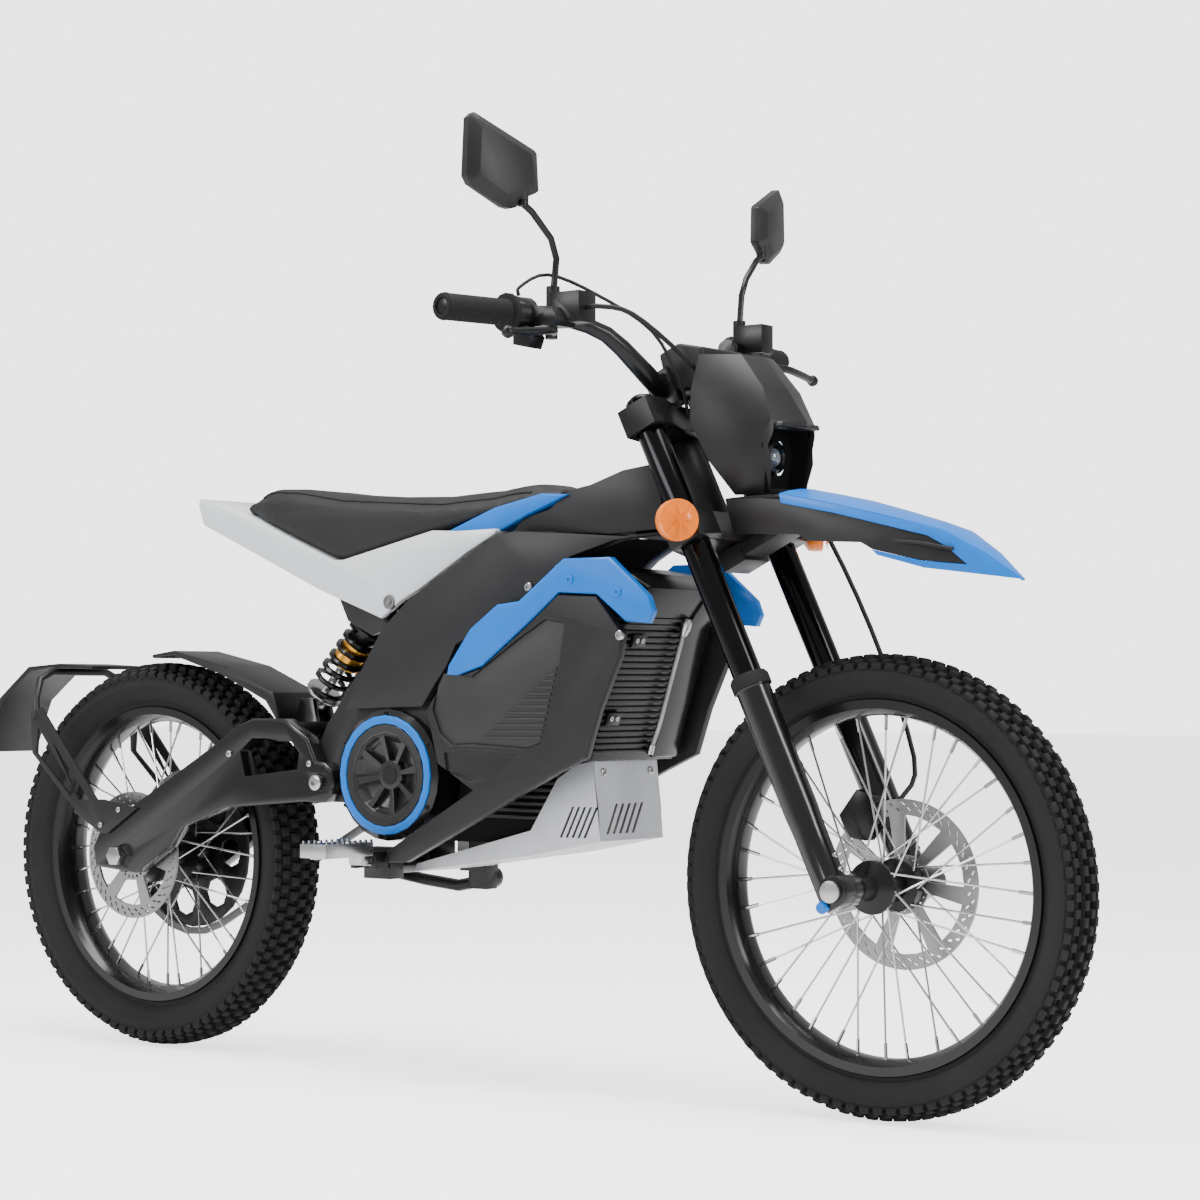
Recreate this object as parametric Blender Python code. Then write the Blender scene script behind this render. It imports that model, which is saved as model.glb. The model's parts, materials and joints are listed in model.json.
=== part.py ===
"""Full-size electric off-road motorcycle, built as an assembly of separate pieces.

Units are metres, +X forward, +Y to the rider's left, +Z up, and the ground is z = 0. Lengthwise
places are stations: the front axle is at FRONT_X and the rear axle is one wheelbase behind it.
The empty named motorcycle carries the stations to the middle of the machine's length.
"""

import math

import bmesh
import bpy
from mathutils import Matrix, Vector

GAP = 0.0003
CLEAR = 0.0006

# overall sizes
WHEELBASE = 1.3575
BAR_HALF_WIDTH = 0.405
FRONT_X = 1.3575
FRONT_TYRE_R = 0.311
FRONT_TYRE_W = 0.077
REAR_TYRE_R = 0.309
REAR_TYRE_W = 0.0985
TAIL_REACH = 0.383
REAR_X = FRONT_X - WHEELBASE
CENTRE_X = (REAR_X - TAIL_REACH + FRONT_X + FRONT_TYRE_R) / 2

# steering and fork
RAKE = math.radians(25.4)
STEER_BASE = Vector((1.3187, 0.0, 0.2925))
LEG_AHEAD = 0.030
LEG_HALF = 0.105
STANCHION_R = 0.0205
LEG_R = 0.0255
LEG_TOP = 0.315
FORK_TRAVEL = 0.150
CLAMP_LOW = 0.515
CLAMP_LOW_TOP = 0.560
CLAMP_HIGH = 0.690
CLAMP_HIGH_TOP = 0.730
TUBE_TOP = 0.737
STEM_R = 0.0145
HEAD_R = 0.0315
AXLE_R = 0.0085

# wheels and brakes
RIM_FRONT = 0.2413
RIM_REAR = 0.2286
SPOKES = 36
SPOKE_R = 0.0018
DISC_T = 0.004
FRONT_DISC_R = 0.115
FRONT_DISC_Y = 0.050
REAR_DISC_R = 0.101
REAR_DISC_Y = -0.0745
CHAIN_Y = 0.0620
CHAIN_W = 0.0090
SPROCKET_T = 0.0060
REAR_SPROCKET_R = 0.1240
DRIVE_SPROCKET_R = 0.0310
CHAIN_T = 0.0110

# swingarm and shock
PIVOT = Vector((0.431, 0.0, 0.434))
PIVOT_R = 0.0120
ARM_IN = 0.0820
ARM_OUT = 0.1070
SHOCK_LOW = Vector((0.326, 0.0, 0.548))
SHOCK_HIGH = Vector((0.471, 0.0, 0.700))
SHOCK_BODY_R = 0.0210
SHOCK_PIN_R = 0.0060
SPRING_R = 0.0275
SPRING_WIRE = 0.0045
SPRING_TURNS = 6

# frame, battery and covers
SPAR_IN = 0.0860
SPAR_OUT = 0.1100
BATTERY_HALF = 0.1000
BATTERY_LOW = 0.4730
COVER_IN = 0.1255
COVER_OUT = 0.1400
SKID_HALF = 0.0750
SKID_WALL = 0.0040
MOTOR_X = 0.576
MOTOR_Z = 0.448
MOTOR_R = 0.097
RING_R = 0.082
BAR_R = 0.0110
GRIP_R = 0.0170
GRIP_LENGTH = 0.124

# seat stations: x, half width, underside, edge and crown heights
# the cowl's web and the rails follow the underside
SEAT = [
    (0.242, 0.072, 0.8520, 0.8620, 0.8700),
    (0.300, 0.088, 0.8300, 0.8660, 0.8800),
    (0.360, 0.096, 0.8060, 0.8600, 0.8770),
    (0.454, 0.100, 0.7690, 0.8470, 0.8650),
    (0.473, 0.100, 0.7690, 0.8455, 0.8635),
    (0.560, 0.100, 0.7880, 0.8400, 0.8570),
    (0.648, 0.095, 0.8070, 0.8350, 0.8540),
    (0.740, 0.082, 0.8240, 0.8440, 0.8600),
    (0.809, 0.066, 0.8340, 0.8550, 0.8680),
    (0.850, 0.050, 0.8500, 0.8600, 0.8680),
]
SEAT_GAP = 0.0006
COWL_HALF = 0.1000
COWL_WALL = 0.0120
COWL_WEB = 0.0050
RAIL_R = 0.0100
RAIL_DROP = SEAT_GAP + COWL_WEB + RAIL_R * 1.075 + GAP

FINISHES = {
    "charcoal": ((0.035, 0.036, 0.038), 0.55, 0.0),
    "black": ((0.012, 0.012, 0.013), 0.35, 0.0),
    "black_metal": ((0.02, 0.02, 0.021), 0.3, 0.8),
    "blue": ((0.02, 0.22, 0.50), 0.35, 0.0),
    "silver": ((0.62, 0.62, 0.63), 0.3, 1.0),
    "white": ((0.72, 0.74, 0.75), 0.25, 0.0),
    "seat": ((0.05, 0.05, 0.053), 0.75, 0.0),
    "rubber": ((0.02, 0.02, 0.02), 0.85, 0.0),
    "orange": ((0.85, 0.25, 0.02), 0.2, 0.0),
    "grey": ((0.25, 0.25, 0.26), 0.45, 0.3),
}


def clear_scene():
    for obj in list(bpy.data.objects):
        bpy.data.objects.remove(obj, do_unlink=True)


def loft(loops, closed=False):
    """Solid through loops of equally many points, capped unless the loops close on themselves."""
    bm = bmesh.new()
    rings = [[bm.verts.new(point) for point in loop] for loop in loops]
    count = len(rings[0])
    pairs = list(zip(rings, rings[1:]))
    if closed:
        pairs.append((rings[-1], rings[0]))
    for low, high in pairs:
        for i in range(count):
            j = (i + 1) % count
            bm.faces.new((low[i], low[j], high[j], high[i]))
    if not closed:
        bm.faces.new(rings[0])
        bm.faces.new(rings[-1])
    bmesh.ops.recalc_face_normals(bm, faces=bm.faces)
    return bm


def prism(outline, y0, y1, bevel=0.0):
    """Side-view outline of (x, z) points, extruded from y0 to y1, its outer rim bevelled if asked."""
    bm = loft([[(x, y, z) for x, z in outline] for y in (y0, y1)])
    if bevel:
        far = y1 if abs(y1) > abs(y0) else y0
        rim = [e for e in bm.edges if all(abs(v.co.y - far) < 1e-6 for v in e.verts)]
        bmesh.ops.bevel(bm, geom=rim, offset=bevel, segments=1, affect="EDGES")
        bmesh.ops.recalc_face_normals(bm, faces=bm.faces)
    return bm


def block(low, high):
    (x0, y0, z0), (x1, y1, z1) = low, high
    return prism([(x0, z0), (x1, z0), (x1, z1), (x0, z1)], y0, y1)


def cross_axes(direction):
    forward = Vector(direction).normalized()
    guess = Vector((0, 0, 1)) if abs(forward.z) < 0.9 else Vector((1, 0, 0))
    side = forward.cross(guess).normalized()
    return forward, side, forward.cross(side)


def turned(profile, base, direction, sides=16, closed=False, flat=False):
    """Turned solid: profile points are (distance along direction, radius)."""
    forward, side, up = cross_axes(direction)
    phase = math.pi / sides if flat else 0.0
    grow = 1 / math.cos(math.pi / sides) if flat else 1.0
    loops = []
    for along, radius in profile:
        loop = []
        for i in range(sides):
            turn = phase + 2 * math.pi * i / sides
            reach = side * math.cos(turn) + up * math.sin(turn)
            loop.append(Vector(base) + forward * along + reach * radius * grow)
        loops.append(loop)
    return loft(loops, closed)


def rod(start, end, radius, sides=12):
    along = Vector(end) - Vector(start)
    return turned([(0, radius), (along.length, radius)], start, along, sides)


def pipe(start, end, outer, inner, sides=16):
    along = Vector(end) - Vector(start)
    length = along.length
    return turned(
        [(0, outer), (length, outer), (length, inner), (0, inner)],
        start,
        along,
        sides,
        closed=True,
    )


def tube(points, radius, sides=10):
    """Round bar along a route; radius is one value or one for each point."""
    points = [Vector(p) for p in points]
    radii = radius if isinstance(radius, (list, tuple)) else [radius] * len(points)
    _, side, _ = cross_axes(points[1] - points[0])
    loops = []
    for i, point in enumerate(points):
        ahead = points[min(i + 1, len(points) - 1)] - point
        behind = point - points[max(i - 1, 0)]
        forward = (ahead.normalized() + behind.normalized()).normalized()
        side = (side - forward * side.dot(forward)).normalized()
        up = forward.cross(side)
        turns = [2 * math.pi * k / sides for k in range(sides)]
        loops.append([point + (side * math.cos(t) + up * math.sin(t)) * radii[i] for t in turns])
    return loft(loops)


def smooth_route(points, per_span=4):
    """Points on a Catmull-Rom curve through the given points."""
    points = [Vector(p) for p in points]
    ends = [2 * points[0] - points[1]] + points + [2 * points[-1] - points[-2]]
    route = []
    for a, b, c, d in zip(ends, ends[1:], ends[2:], ends[3:]):
        for k in range(per_span):
            t = k / per_span
            route.append(
                0.5 * (
                    2 * b + (c - a) * t + (
                        2 * a - 5 * b + 4 * c - d
                    ) * t * t + (3 * b - a - 3 * c + d) * t**3
                )
            )
    return route + [points[-1]]


def mirrored(bm):
    """The same piece on the other side of the machine."""
    bmesh.ops.scale(bm, vec=(1, -1, 1), verts=bm.verts)
    bmesh.ops.recalc_face_normals(bm, faces=bm.faces)
    return bm


def on_side(bm, side):
    """A piece drawn for the rider's left (+Y), placed on side +1 or -1."""
    return bm if side > 0 else mirrored(bm)


def mesh_object(name, bm):
    mesh = bpy.data.meshes.new(name)
    bm.to_mesh(mesh)
    bm.free()
    obj = bpy.data.objects.new(name, mesh)
    bpy.context.scene.collection.objects.link(obj)
    return obj


def boolean(obj, bm, operation):
    helper = mesh_object("helper", bm)
    modifier = obj.modifiers.new("boolean", "BOOLEAN")
    modifier.operation = operation
    modifier.solver = "EXACT"
    modifier.object = helper
    graph = bpy.context.evaluated_depsgraph_get()
    result = bpy.data.meshes.new_from_object(obj.evaluated_get(graph))
    obj.modifiers.clear()
    obj.data = result
    bpy.data.objects.remove(helper, do_unlink=True)


def finish_material(finish):
    """One Principled material of the named finish."""
    colour, roughness, metallic = FINISHES[finish]
    material = bpy.data.materials.new(finish)
    material.use_nodes = True
    shader = material.node_tree.nodes["Principled BSDF"]
    shader.inputs["Base Color"].default_value = (*colour, 1)
    shader.inputs["Roughness"].default_value = roughness
    shader.inputs["Metallic"].default_value = metallic
    return material


def node(name, base, finish, join=(), cut=(), inside=(), trim=(), pivot=(0, 0, 0)):
    """One named piece with its origin at pivot: base, joined pieces, cuts, inner pieces, last trims."""
    obj = mesh_object(name, base)
    steps = ((join, "UNION"), (cut, "DIFFERENCE"), (inside, "UNION"), (trim, "DIFFERENCE"))
    for others, operation in steps:
        for other in others:
            boolean(obj, other, operation)
    obj.data.transform(Matrix.Translation(-Vector(pivot)))
    obj.data.shade_smooth()
    obj.data.set_sharp_from_angle(angle=math.radians(35))
    obj.data.materials.clear()
    obj.data.materials.append(finish_material(finish))
    obj.location = pivot
    obj.parent = MOTORCYCLE
    return obj


def cord(name, points, radius, finish, resolution=2):
    """A cord along a smooth route, with flat closed ends."""
    curve = bpy.data.curves.new(name, "CURVE")
    curve.dimensions = "3D"
    curve.bevel_depth = radius
    curve.bevel_resolution = resolution
    curve.use_fill_caps = True
    spline = curve.splines.new("POLY")
    route = smooth_route(points)
    spline.points.add(len(route) - 1)
    for point, place in zip(spline.points, route):
        point.co = (*place, 1)
    obj = bpy.data.objects.new(name, curve)
    bpy.context.scene.collection.objects.link(obj)
    curve.materials.append(finish_material(finish))
    obj.parent = MOTORCYCLE
    return obj


UP_FORK = Vector((-math.sin(RAKE), 0, math.cos(RAKE)))
AHEAD_FORK = Vector((math.cos(RAKE), 0, math.sin(RAKE)))


def fork_point(ahead, y, along):
    """Point in the fork's own axes: ahead of the steering axis, sideways, and up along it."""
    return STEER_BASE + AHEAD_FORK * ahead + UP_FORK * along + Vector((0, y, 0))


def fork_prism(outline, low, high):
    """Outline of (ahead, y) points extruded along the steering axis."""
    return loft([[fork_point(f, y, s) for f, y in outline] for s in (low, high)])


def both_sides(half_outline):
    """A closed outline from its +Y half, given front to back."""
    return half_outline + [(f, -y) for f, y in reversed(half_outline)]


clear_scene()
MOTORCYCLE = bpy.data.objects.new("motorcycle", None)
bpy.context.scene.collection.objects.link(MOTORCYCLE)
MOTORCYCLE.location = (-CENTRE_X, 0, 0)

FRONT_AXLE = Vector((FRONT_X, 0, FRONT_TYRE_R))
REAR_AXLE = Vector((REAR_X, 0, REAR_TYRE_R))
Y_AXIS = Vector((0, 1, 0))


# wheels ----------------------------------------------------------------------------------------
def tyre(name, axle, radius, width, bead_r):
    """Solid tyre ring: flat beads, bulged walls and a crown with a flat tread band."""
    half = width / 2
    height = radius - bead_r
    bead_half = half * 0.55
    profile = [
        (-bead_half, bead_r + GAP),
        (-bead_half, bead_r + 0.22 * height),
        (-half, bead_r + 0.52 * height),
        (-half * 0.97, bead_r + 0.80 * height),
        (-half * 0.30, radius),
        (half * 0.30, radius),
        (half * 0.97, bead_r + 0.80 * height),
        (half, bead_r + 0.52 * height),
        (bead_half, bead_r + 0.22 * height),
        (bead_half, bead_r + GAP),
    ]
    bm = turned(profile, axle, Y_AXIS, TYRE_SIDES, closed=True, flat=True)
    return node(name, bm, "rubber", pivot=axle)


def wheel_core(name, axle, seat_r, bead_half, rim_depth, flange_r, hub):
    """Rim, laced spokes and hub as one body, with a bore for the axle."""
    lip_in = bead_half + CLEAR
    lip_out = lip_in + 0.004
    rim_profile = [
        (-lip_out, seat_r + 0.009),
        (-lip_in, seat_r + 0.009),
        (-lip_in, seat_r),
        (lip_in, seat_r),
        (lip_in, seat_r + 0.009),
        (lip_out, seat_r + 0.009),
        (lip_out, seat_r - 0.004),
        (lip_out * 0.45, seat_r - rim_depth),
        (-lip_out * 0.45, seat_r - rim_depth),
        (-lip_out, seat_r - 0.004),
    ]
    rim = turned(rim_profile, axle, Y_AXIS, TYRE_SIDES, closed=True, flat=True)
    hub_bm = turned(hub, axle, Y_AXIS, 16)
    spokes = []
    for i in range(SPOKES):
        side = 1 if i % 2 else -1
        lean = math.radians(38) * (1 if i % 4 < 2 else -1)
        at_rim = 2 * math.pi * i / SPOKES
        at_hub = at_rim + lean
        inner = axle + Vector((math.cos(at_hub), 0, math.sin(at_hub))) * (flange_r - 0.004)
        outer = axle + Vector((math.cos(at_rim), 0, math.sin(at_rim))) * (seat_r - rim_depth + 0.006)
        crossing = SPOKE_R * 1.5 * (1 if lean > 0 else -1)
        inner.y = side * (HUB_FLANGE_Y + crossing * 0.7)
        outer.y = side * (0.005 + crossing)
        spokes.append(rod(inner, outer, SPOKE_R, 3))
    bore = rod(axle - Y_AXIS * 0.2, axle + Y_AXIS * 0.2, AXLE_R + GAP, 16)
    return node(name, rim, "black", join=spokes + [hub_bm], cut=[bore], pivot=axle)


def brake_disc(name, axle, y, radius, band, hole_r, arms):
    """Flat disc: outer friction band, swept arms and an inner bolting ring around the hub."""
    windows = []
    step = 2 * math.pi / arms
    for i in range(arms):
        points = []
        for turn, reach in ((0.0, 0), (0.62, 0), (0.30, 1), (-0.32, 1)):
            at = step * i + turn * step
            rim_r = radius - band if reach == 0 else hole_r + 0.012
            points.append((axle.x + rim_r * math.cos(at), axle.z + rim_r * math.sin(at)))
        windows.append(prism(points, y - 0.02, y + 0.02))
    half = DISC_T / 2
    profile = [(-half, radius), (half, radius), (half, hole_r), (-half, hole_r)]
    bm = turned(profile, axle + Y_AXIS * y, Y_AXIS, 24, closed=True)
    return node(name, bm, "silver", cut=windows, pivot=axle)


TYRE_SIDES = 36
HUB_FLANGE_Y = 0.030
FRONT_FLANGE_R = 0.036
REAR_FLANGE_R = 0.046
FRONT_HUB_END = LEG_HALF - LEG_R - CLEAR
REAR_HUB_END = ARM_IN - CLEAR
tyre("front_tyre", FRONT_AXLE, FRONT_TYRE_R, FRONT_TYRE_W, RIM_FRONT)
tyre("rear_tyre", REAR_AXLE, REAR_TYRE_R, REAR_TYRE_W, RIM_REAR)
DISC_SEAT = 0.0005
front_hub = [
    (-FRONT_HUB_END, 0.014),
    (-0.042, 0.016),
    (-HUB_FLANGE_Y - 0.004, FRONT_FLANGE_R),
    (-HUB_FLANGE_Y + 0.004, FRONT_FLANGE_R),
    (-HUB_FLANGE_Y + 0.008, 0.022),
    (HUB_FLANGE_Y - 0.008, 0.022),
    (HUB_FLANGE_Y - 0.004, FRONT_FLANGE_R),
    (FRONT_DISC_Y - DISC_T / 2 - DISC_SEAT, FRONT_FLANGE_R),
    (FRONT_DISC_Y - DISC_T / 2 - DISC_SEAT, 0.021),
    (FRONT_DISC_Y + 0.006, 0.021),
    (FRONT_HUB_END, 0.014),
]
wheel_core(
    "front_wheel_core",
    FRONT_AXLE,
    RIM_FRONT,
    FRONT_TYRE_W * 0.275,
    0.013,
    FRONT_FLANGE_R,
    front_hub,
)
brake_disc("front_disc", FRONT_AXLE, FRONT_DISC_Y, FRONT_DISC_R, 0.021, 0.0215, 7)
SPROCKET_BORE = 0.0290
rear_hub = [
    (-REAR_HUB_END, 0.015),
    (REAR_DISC_Y - DISC_T / 2 - 0.001, 0.015),
    (REAR_DISC_Y - DISC_T / 2 - 0.001, 0.021),
    (REAR_DISC_Y + DISC_T / 2 + DISC_SEAT, 0.021),
    (REAR_DISC_Y + DISC_T / 2 + DISC_SEAT, 0.036),
    (-HUB_FLANGE_Y - 0.006, REAR_FLANGE_R),
    (-HUB_FLANGE_Y + 0.004, REAR_FLANGE_R),
    (-HUB_FLANGE_Y + 0.008, 0.028),
    (HUB_FLANGE_Y - 0.008, 0.028),
    (HUB_FLANGE_Y - 0.004, REAR_FLANGE_R),
    (CHAIN_Y - SPROCKET_T / 2 - DISC_SEAT, REAR_FLANGE_R),
    (CHAIN_Y - SPROCKET_T / 2 - DISC_SEAT, SPROCKET_BORE - DISC_SEAT),
    (CHAIN_Y + 0.006, SPROCKET_BORE - DISC_SEAT),
    (CHAIN_Y + 0.008, 0.015),
    (REAR_HUB_END, 0.015),
]
wheel_core("rear_wheel_core", REAR_AXLE, RIM_REAR, REAR_TYRE_W * 0.275, 0.015, REAR_FLANGE_R, rear_hub)
brake_disc("rear_disc", REAR_AXLE, REAR_DISC_Y, REAR_DISC_R, 0.021, 0.0215, 6)


# chain drive -----------------------------------------------------------------------------------
def sprocket(name, centre, radius, bore, windows):
    half = SPROCKET_T / 2
    profile = [(-half, radius), (half, radius), (half, bore), (-half, bore)]
    holes = []
    for i in range(windows):
        at = 2 * math.pi * i / windows
        spot = centre + Vector((math.cos(at), 0, math.sin(at))) * (radius * 0.68)
        holes.append(rod(spot - Y_AXIS * 0.03, spot + Y_AXIS * 0.03, radius * 0.19, 8))
    bm = turned(profile, centre, Y_AXIS, 24 if windows else 16, closed=True)
    return node(name, bm, "silver" if windows else "black_metal", cut=holes, pivot=centre)


def belt(first, first_r, second, second_r, steps=12):
    """Outline of a band stretched round two circles, as (x, z) points."""
    run = second - first
    spread = math.acos((first_r - second_r) / run.length)
    heading = math.atan2(run.z, run.x)
    points = []
    for centre, radius, start, sweep in (
        (first, first_r, heading + spread, 2 * (math.pi - spread)),
        (second, second_r, heading - spread, 2 * spread),
    ):
        count = steps if centre is first else steps // 2
        for k in range(count + 1):
            at = start + sweep * k / count
            reach = radius / math.cos(sweep / count / 2)
            points.append((centre.x + reach * math.cos(at), centre.z + reach * math.sin(at)))
    return points


DRIVE_CENTRE = PIVOT + Y_AXIS * CHAIN_Y
DRIVEN_CENTRE = REAR_AXLE + Y_AXIS * CHAIN_Y
sprocket("rear_sprocket", DRIVEN_CENTRE, REAR_SPROCKET_R, SPROCKET_BORE, 7)
sprocket("drive_sprocket", DRIVE_CENTRE, DRIVE_SPROCKET_R, PIVOT_R + GAP, 0)
CHAIN_CLEAR = 0.0006
inside = belt(DRIVEN_CENTRE, REAR_SPROCKET_R + CHAIN_CLEAR, DRIVE_CENTRE, DRIVE_SPROCKET_R + CHAIN_CLEAR)
outside = belt(
    DRIVEN_CENTRE,
    REAR_SPROCKET_R + CHAIN_CLEAR + CHAIN_T,
    DRIVE_CENTRE,
    DRIVE_SPROCKET_R + CHAIN_CLEAR + CHAIN_T,
)
node(
    "chain",
    prism(outside, CHAIN_Y - CHAIN_W / 2, CHAIN_Y + CHAIN_W / 2),
    "black_metal",
    cut=[prism(inside, CHAIN_Y - 0.02, CHAIN_Y + 0.02)],
    pivot=DRIVEN_CENTRE,
)


# fork ------------------------------------------------------------------------------------------
LEG_BOTTOM = -0.020
BORE_BOTTOM = 0.050
STANCHION_BOTTOM = BORE_BOTTOM + FORK_TRAVEL + 0.006
LUG_R = 0.021
LUG_OUT = LEG_HALF + 0.0240
CALIPER_LOW_Y = FRONT_DISC_Y - 0.0115
CALIPER_HIGH_Y = FRONT_DISC_Y + 0.0130
CALIPER_OUTLINE = [
    (1.276, 0.372),
    (1.262, 0.402),
    (1.290, 0.438),
    (1.318, 0.428),
    (1.322, 0.392),
    (1.305, 0.368),
]
for side, label in ((-1, "right"), (1, "left")):
    base = fork_point(LEG_AHEAD, LEG_HALF, 0)
    tube_part = turned([(STANCHION_BOTTOM, STANCHION_R), (TUBE_TOP, STANCHION_R)], base, UP_FORK, 16)
    node(
        "stanchion_" + label,
        on_side(tube_part, side),
        "black_metal",
        pivot=(base.x, side * LEG_HALF, base.z),
    )
    profile = [
        (LEG_BOTTOM, 0.017),
        (0.0, 0.0225),
        (0.09, 0.0225),
        (0.12, LEG_R - 0.0015),
        (LEG_TOP - 0.02, LEG_R - 0.0015),
        (LEG_TOP - 0.018, LEG_R),
        (LEG_TOP, LEG_R),
    ]
    leg = turned(profile, base, UP_FORK, 16)
    hub_side = LEG_HALF - LEG_R
    lug = rod((FRONT_AXLE.x, hub_side, FRONT_AXLE.z), (FRONT_AXLE.x, LUG_OUT, FRONT_AXLE.z), LUG_R, 16)
    joins = [on_side(lug, side)]
    if side > 0:
        lug_outline = [(1.285, 0.376), (1.276, 0.402), (1.290, 0.425), (1.312, 0.415), (1.325, 0.385)]
        joins.append(prism(lug_outline, CALIPER_HIGH_Y + GAP, LEG_HALF - 0.008))
    axle_bore = rod(FRONT_AXLE - Y_AXIS * 0.2, FRONT_AXLE + Y_AXIS * 0.2, AXLE_R + GAP, 16)
    bore_r = STANCHION_R + GAP
    tube_bore = turned([(BORE_BOTTOM, bore_r), (LEG_TOP + 0.01, bore_r)], base, UP_FORK, 16)
    cuts = [axle_bore, on_side(tube_bore, side)]
    leg_foot = (base.x, side * LEG_HALF, base.z)
    node("fork_leg_" + label, on_side(leg, side), "black", join=joins, cut=cuts, pivot=leg_foot)

axle_end = LUG_OUT + GAP
axle_bm = rod(
    (FRONT_AXLE.x, -axle_end - 0.004, FRONT_AXLE.z),
    (FRONT_AXLE.x, axle_end + 0.004, FRONT_AXLE.z),
    AXLE_R,
    16,
)
axle_heads = []
for side in (-1, 1):
    head = rod(
        (FRONT_AXLE.x, axle_end, FRONT_AXLE.z),
        (FRONT_AXLE.x, axle_end + 0.008, FRONT_AXLE.z),
        0.0145,
        16,
    )
    axle_heads.append(on_side(head, side))
node("front_axle", axle_bm, "silver", join=axle_heads, pivot=FRONT_AXLE)
disc_slot = rod(
    FRONT_AXLE + Y_AXIS * (FRONT_DISC_Y - DISC_T / 2 - 0.0008),
    FRONT_AXLE + Y_AXIS * (FRONT_DISC_Y + DISC_T / 2 + 0.0008),
    FRONT_DISC_R + 0.0015,
    40,
)
node("front_caliper", prism(CALIPER_OUTLINE, CALIPER_LOW_Y, CALIPER_HIGH_Y), "grey", cut=[disc_slot])

# clamps ----------------------------------------------------------------------------------------
low_outline = both_sides([
    (0.046, 0.0),
    (0.048, 0.060),
    (0.066, 0.090),
    (0.060, LEG_HALF + 0.028),
    (0.008, LEG_HALF + 0.030),
    (-0.006, 0.085),
    (-0.028, 0.040),
    (-0.034, 0.0),
])[1:]
leg_bores = []
for side in (-1, 1):
    start = fork_point(LEG_AHEAD, side * LEG_HALF, 0.3)
    end = fork_point(LEG_AHEAD, side * LEG_HALF, 0.8)
    leg_bores.append((start, end))


def bores():
    return [rod(start, end, STANCHION_R + GAP, 16) for start, end in leg_bores]


stem = rod(fork_point(0, 0, CLAMP_LOW + 0.01), fork_point(0, 0, CLAMP_HIGH_TOP + 0.003), STEM_R, 16)
node(
    "lower_clamp",
    fork_prism(low_outline, CLAMP_LOW, CLAMP_LOW_TOP),
    "black_metal",
    join=[stem],
    cut=bores(),
    pivot=STEER_BASE,
)
BAR_CENTRE = Vector((1.030, 0.0, 0.995))
BAR_CENTRE_R = 0.0143
RISER_Y = 0.045
RISER_HALF = 0.0115
high_outline = both_sides([
    (0.040, 0.0),
    (0.046, 0.050),
    (0.058, 0.088),
    (0.056, LEG_HALF + 0.024),
    (0.006, LEG_HALF + 0.026),
    (-0.002, 0.080),
    (-0.022, 0.030),
    (-0.026, 0.0),
])[1:]
bar_ahead = (BAR_CENTRE - STEER_BASE).dot(AHEAD_FORK)
bar_along = (BAR_CENTRE - STEER_BASE).dot(UP_FORK)
risers = []
for side in (-1, 1):
    y = side * RISER_Y
    outline = [
        (bar_ahead - 0.021, y - RISER_HALF),
        (bar_ahead + 0.021, y - RISER_HALF),
        (bar_ahead + 0.021, y + RISER_HALF),
        (bar_ahead - 0.021, y + RISER_HALF),
    ]
    risers.append(fork_prism(outline, CLAMP_HIGH_TOP - 0.004, bar_along + 0.022))
bar_bore = rod(BAR_CENTRE - Y_AXIS * 0.1, BAR_CENTRE + Y_AXIS * 0.1, BAR_CENTRE_R + GAP, 16)
stem_bore = rod(fork_point(0, 0, 0.6), fork_point(0, 0, 0.8), STEM_R + GAP, 16)
node(
    "upper_clamp",
    fork_prism(high_outline, CLAMP_HIGH, CLAMP_HIGH_TOP),
    "black_metal",
    join=risers,
    cut=bores() + [bar_bore, stem_bore],
    pivot=STEER_BASE,
)

# handlebar and controls ------------------------------------------------------------------------
GRIP_IN_Y = BAR_HALF_WIDTH - GRIP_LENGTH
GRIP_IN = Vector((0.939, GRIP_IN_Y, 1.083))
GRIP_END = Vector((0.925, BAR_HALF_WIDTH, 1.080))
SWEEP = (GRIP_END - GRIP_IN).normalized()
half_bar = [
    (BAR_CENTRE.x, 0.062, BAR_CENTRE.z),
    (1.023, 0.105, 1.026),
    (1.006, 0.150, 1.062),
    (0.977, GRIP_IN_Y - 0.086, 1.079),
    tuple(GRIP_IN - SWEEP * 0.055),
]
half_route = smooth_route(half_bar, 2) + [GRIP_END - SWEEP * 0.002]
left_route = [Vector(p) for p in half_route]
right_route = [Vector((p.x, -p.y, p.z)) for p in reversed(half_route)]


def bar_radius(point):
    """The bar is thick in the clamps and thins to the grips' size outside the bends."""
    share = min(max((abs(point.y) - 0.080) / 0.100, 0), 1)
    return BAR_CENTRE_R + (BAR_R - BAR_CENTRE_R) * share


bar_route = right_route + left_route
node("handlebar", tube(bar_route, [bar_radius(p) for p in bar_route], 12), "black_metal", pivot=BAR_CENTRE)
left_grip = pipe(GRIP_IN, GRIP_END, GRIP_R, BAR_R + GAP, 16)
left_flange = pipe(GRIP_IN, GRIP_IN + SWEEP * 0.006, 0.025, BAR_R + GAP, 16)
node("left_grip", left_grip, "rubber", join=[left_flange], pivot=GRIP_IN)
right_in = Vector((GRIP_IN.x, -GRIP_IN.y, GRIP_IN.z))
throttle = mirrored(pipe(GRIP_IN, GRIP_END, GRIP_R, BAR_R + GAP, 16))
throttle_flange = mirrored(pipe(GRIP_IN, GRIP_IN + SWEEP * 0.006, 0.027, BAR_R + GAP, 16))
node("throttle_grip", throttle, "rubber", join=[throttle_flange], pivot=right_in)

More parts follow.
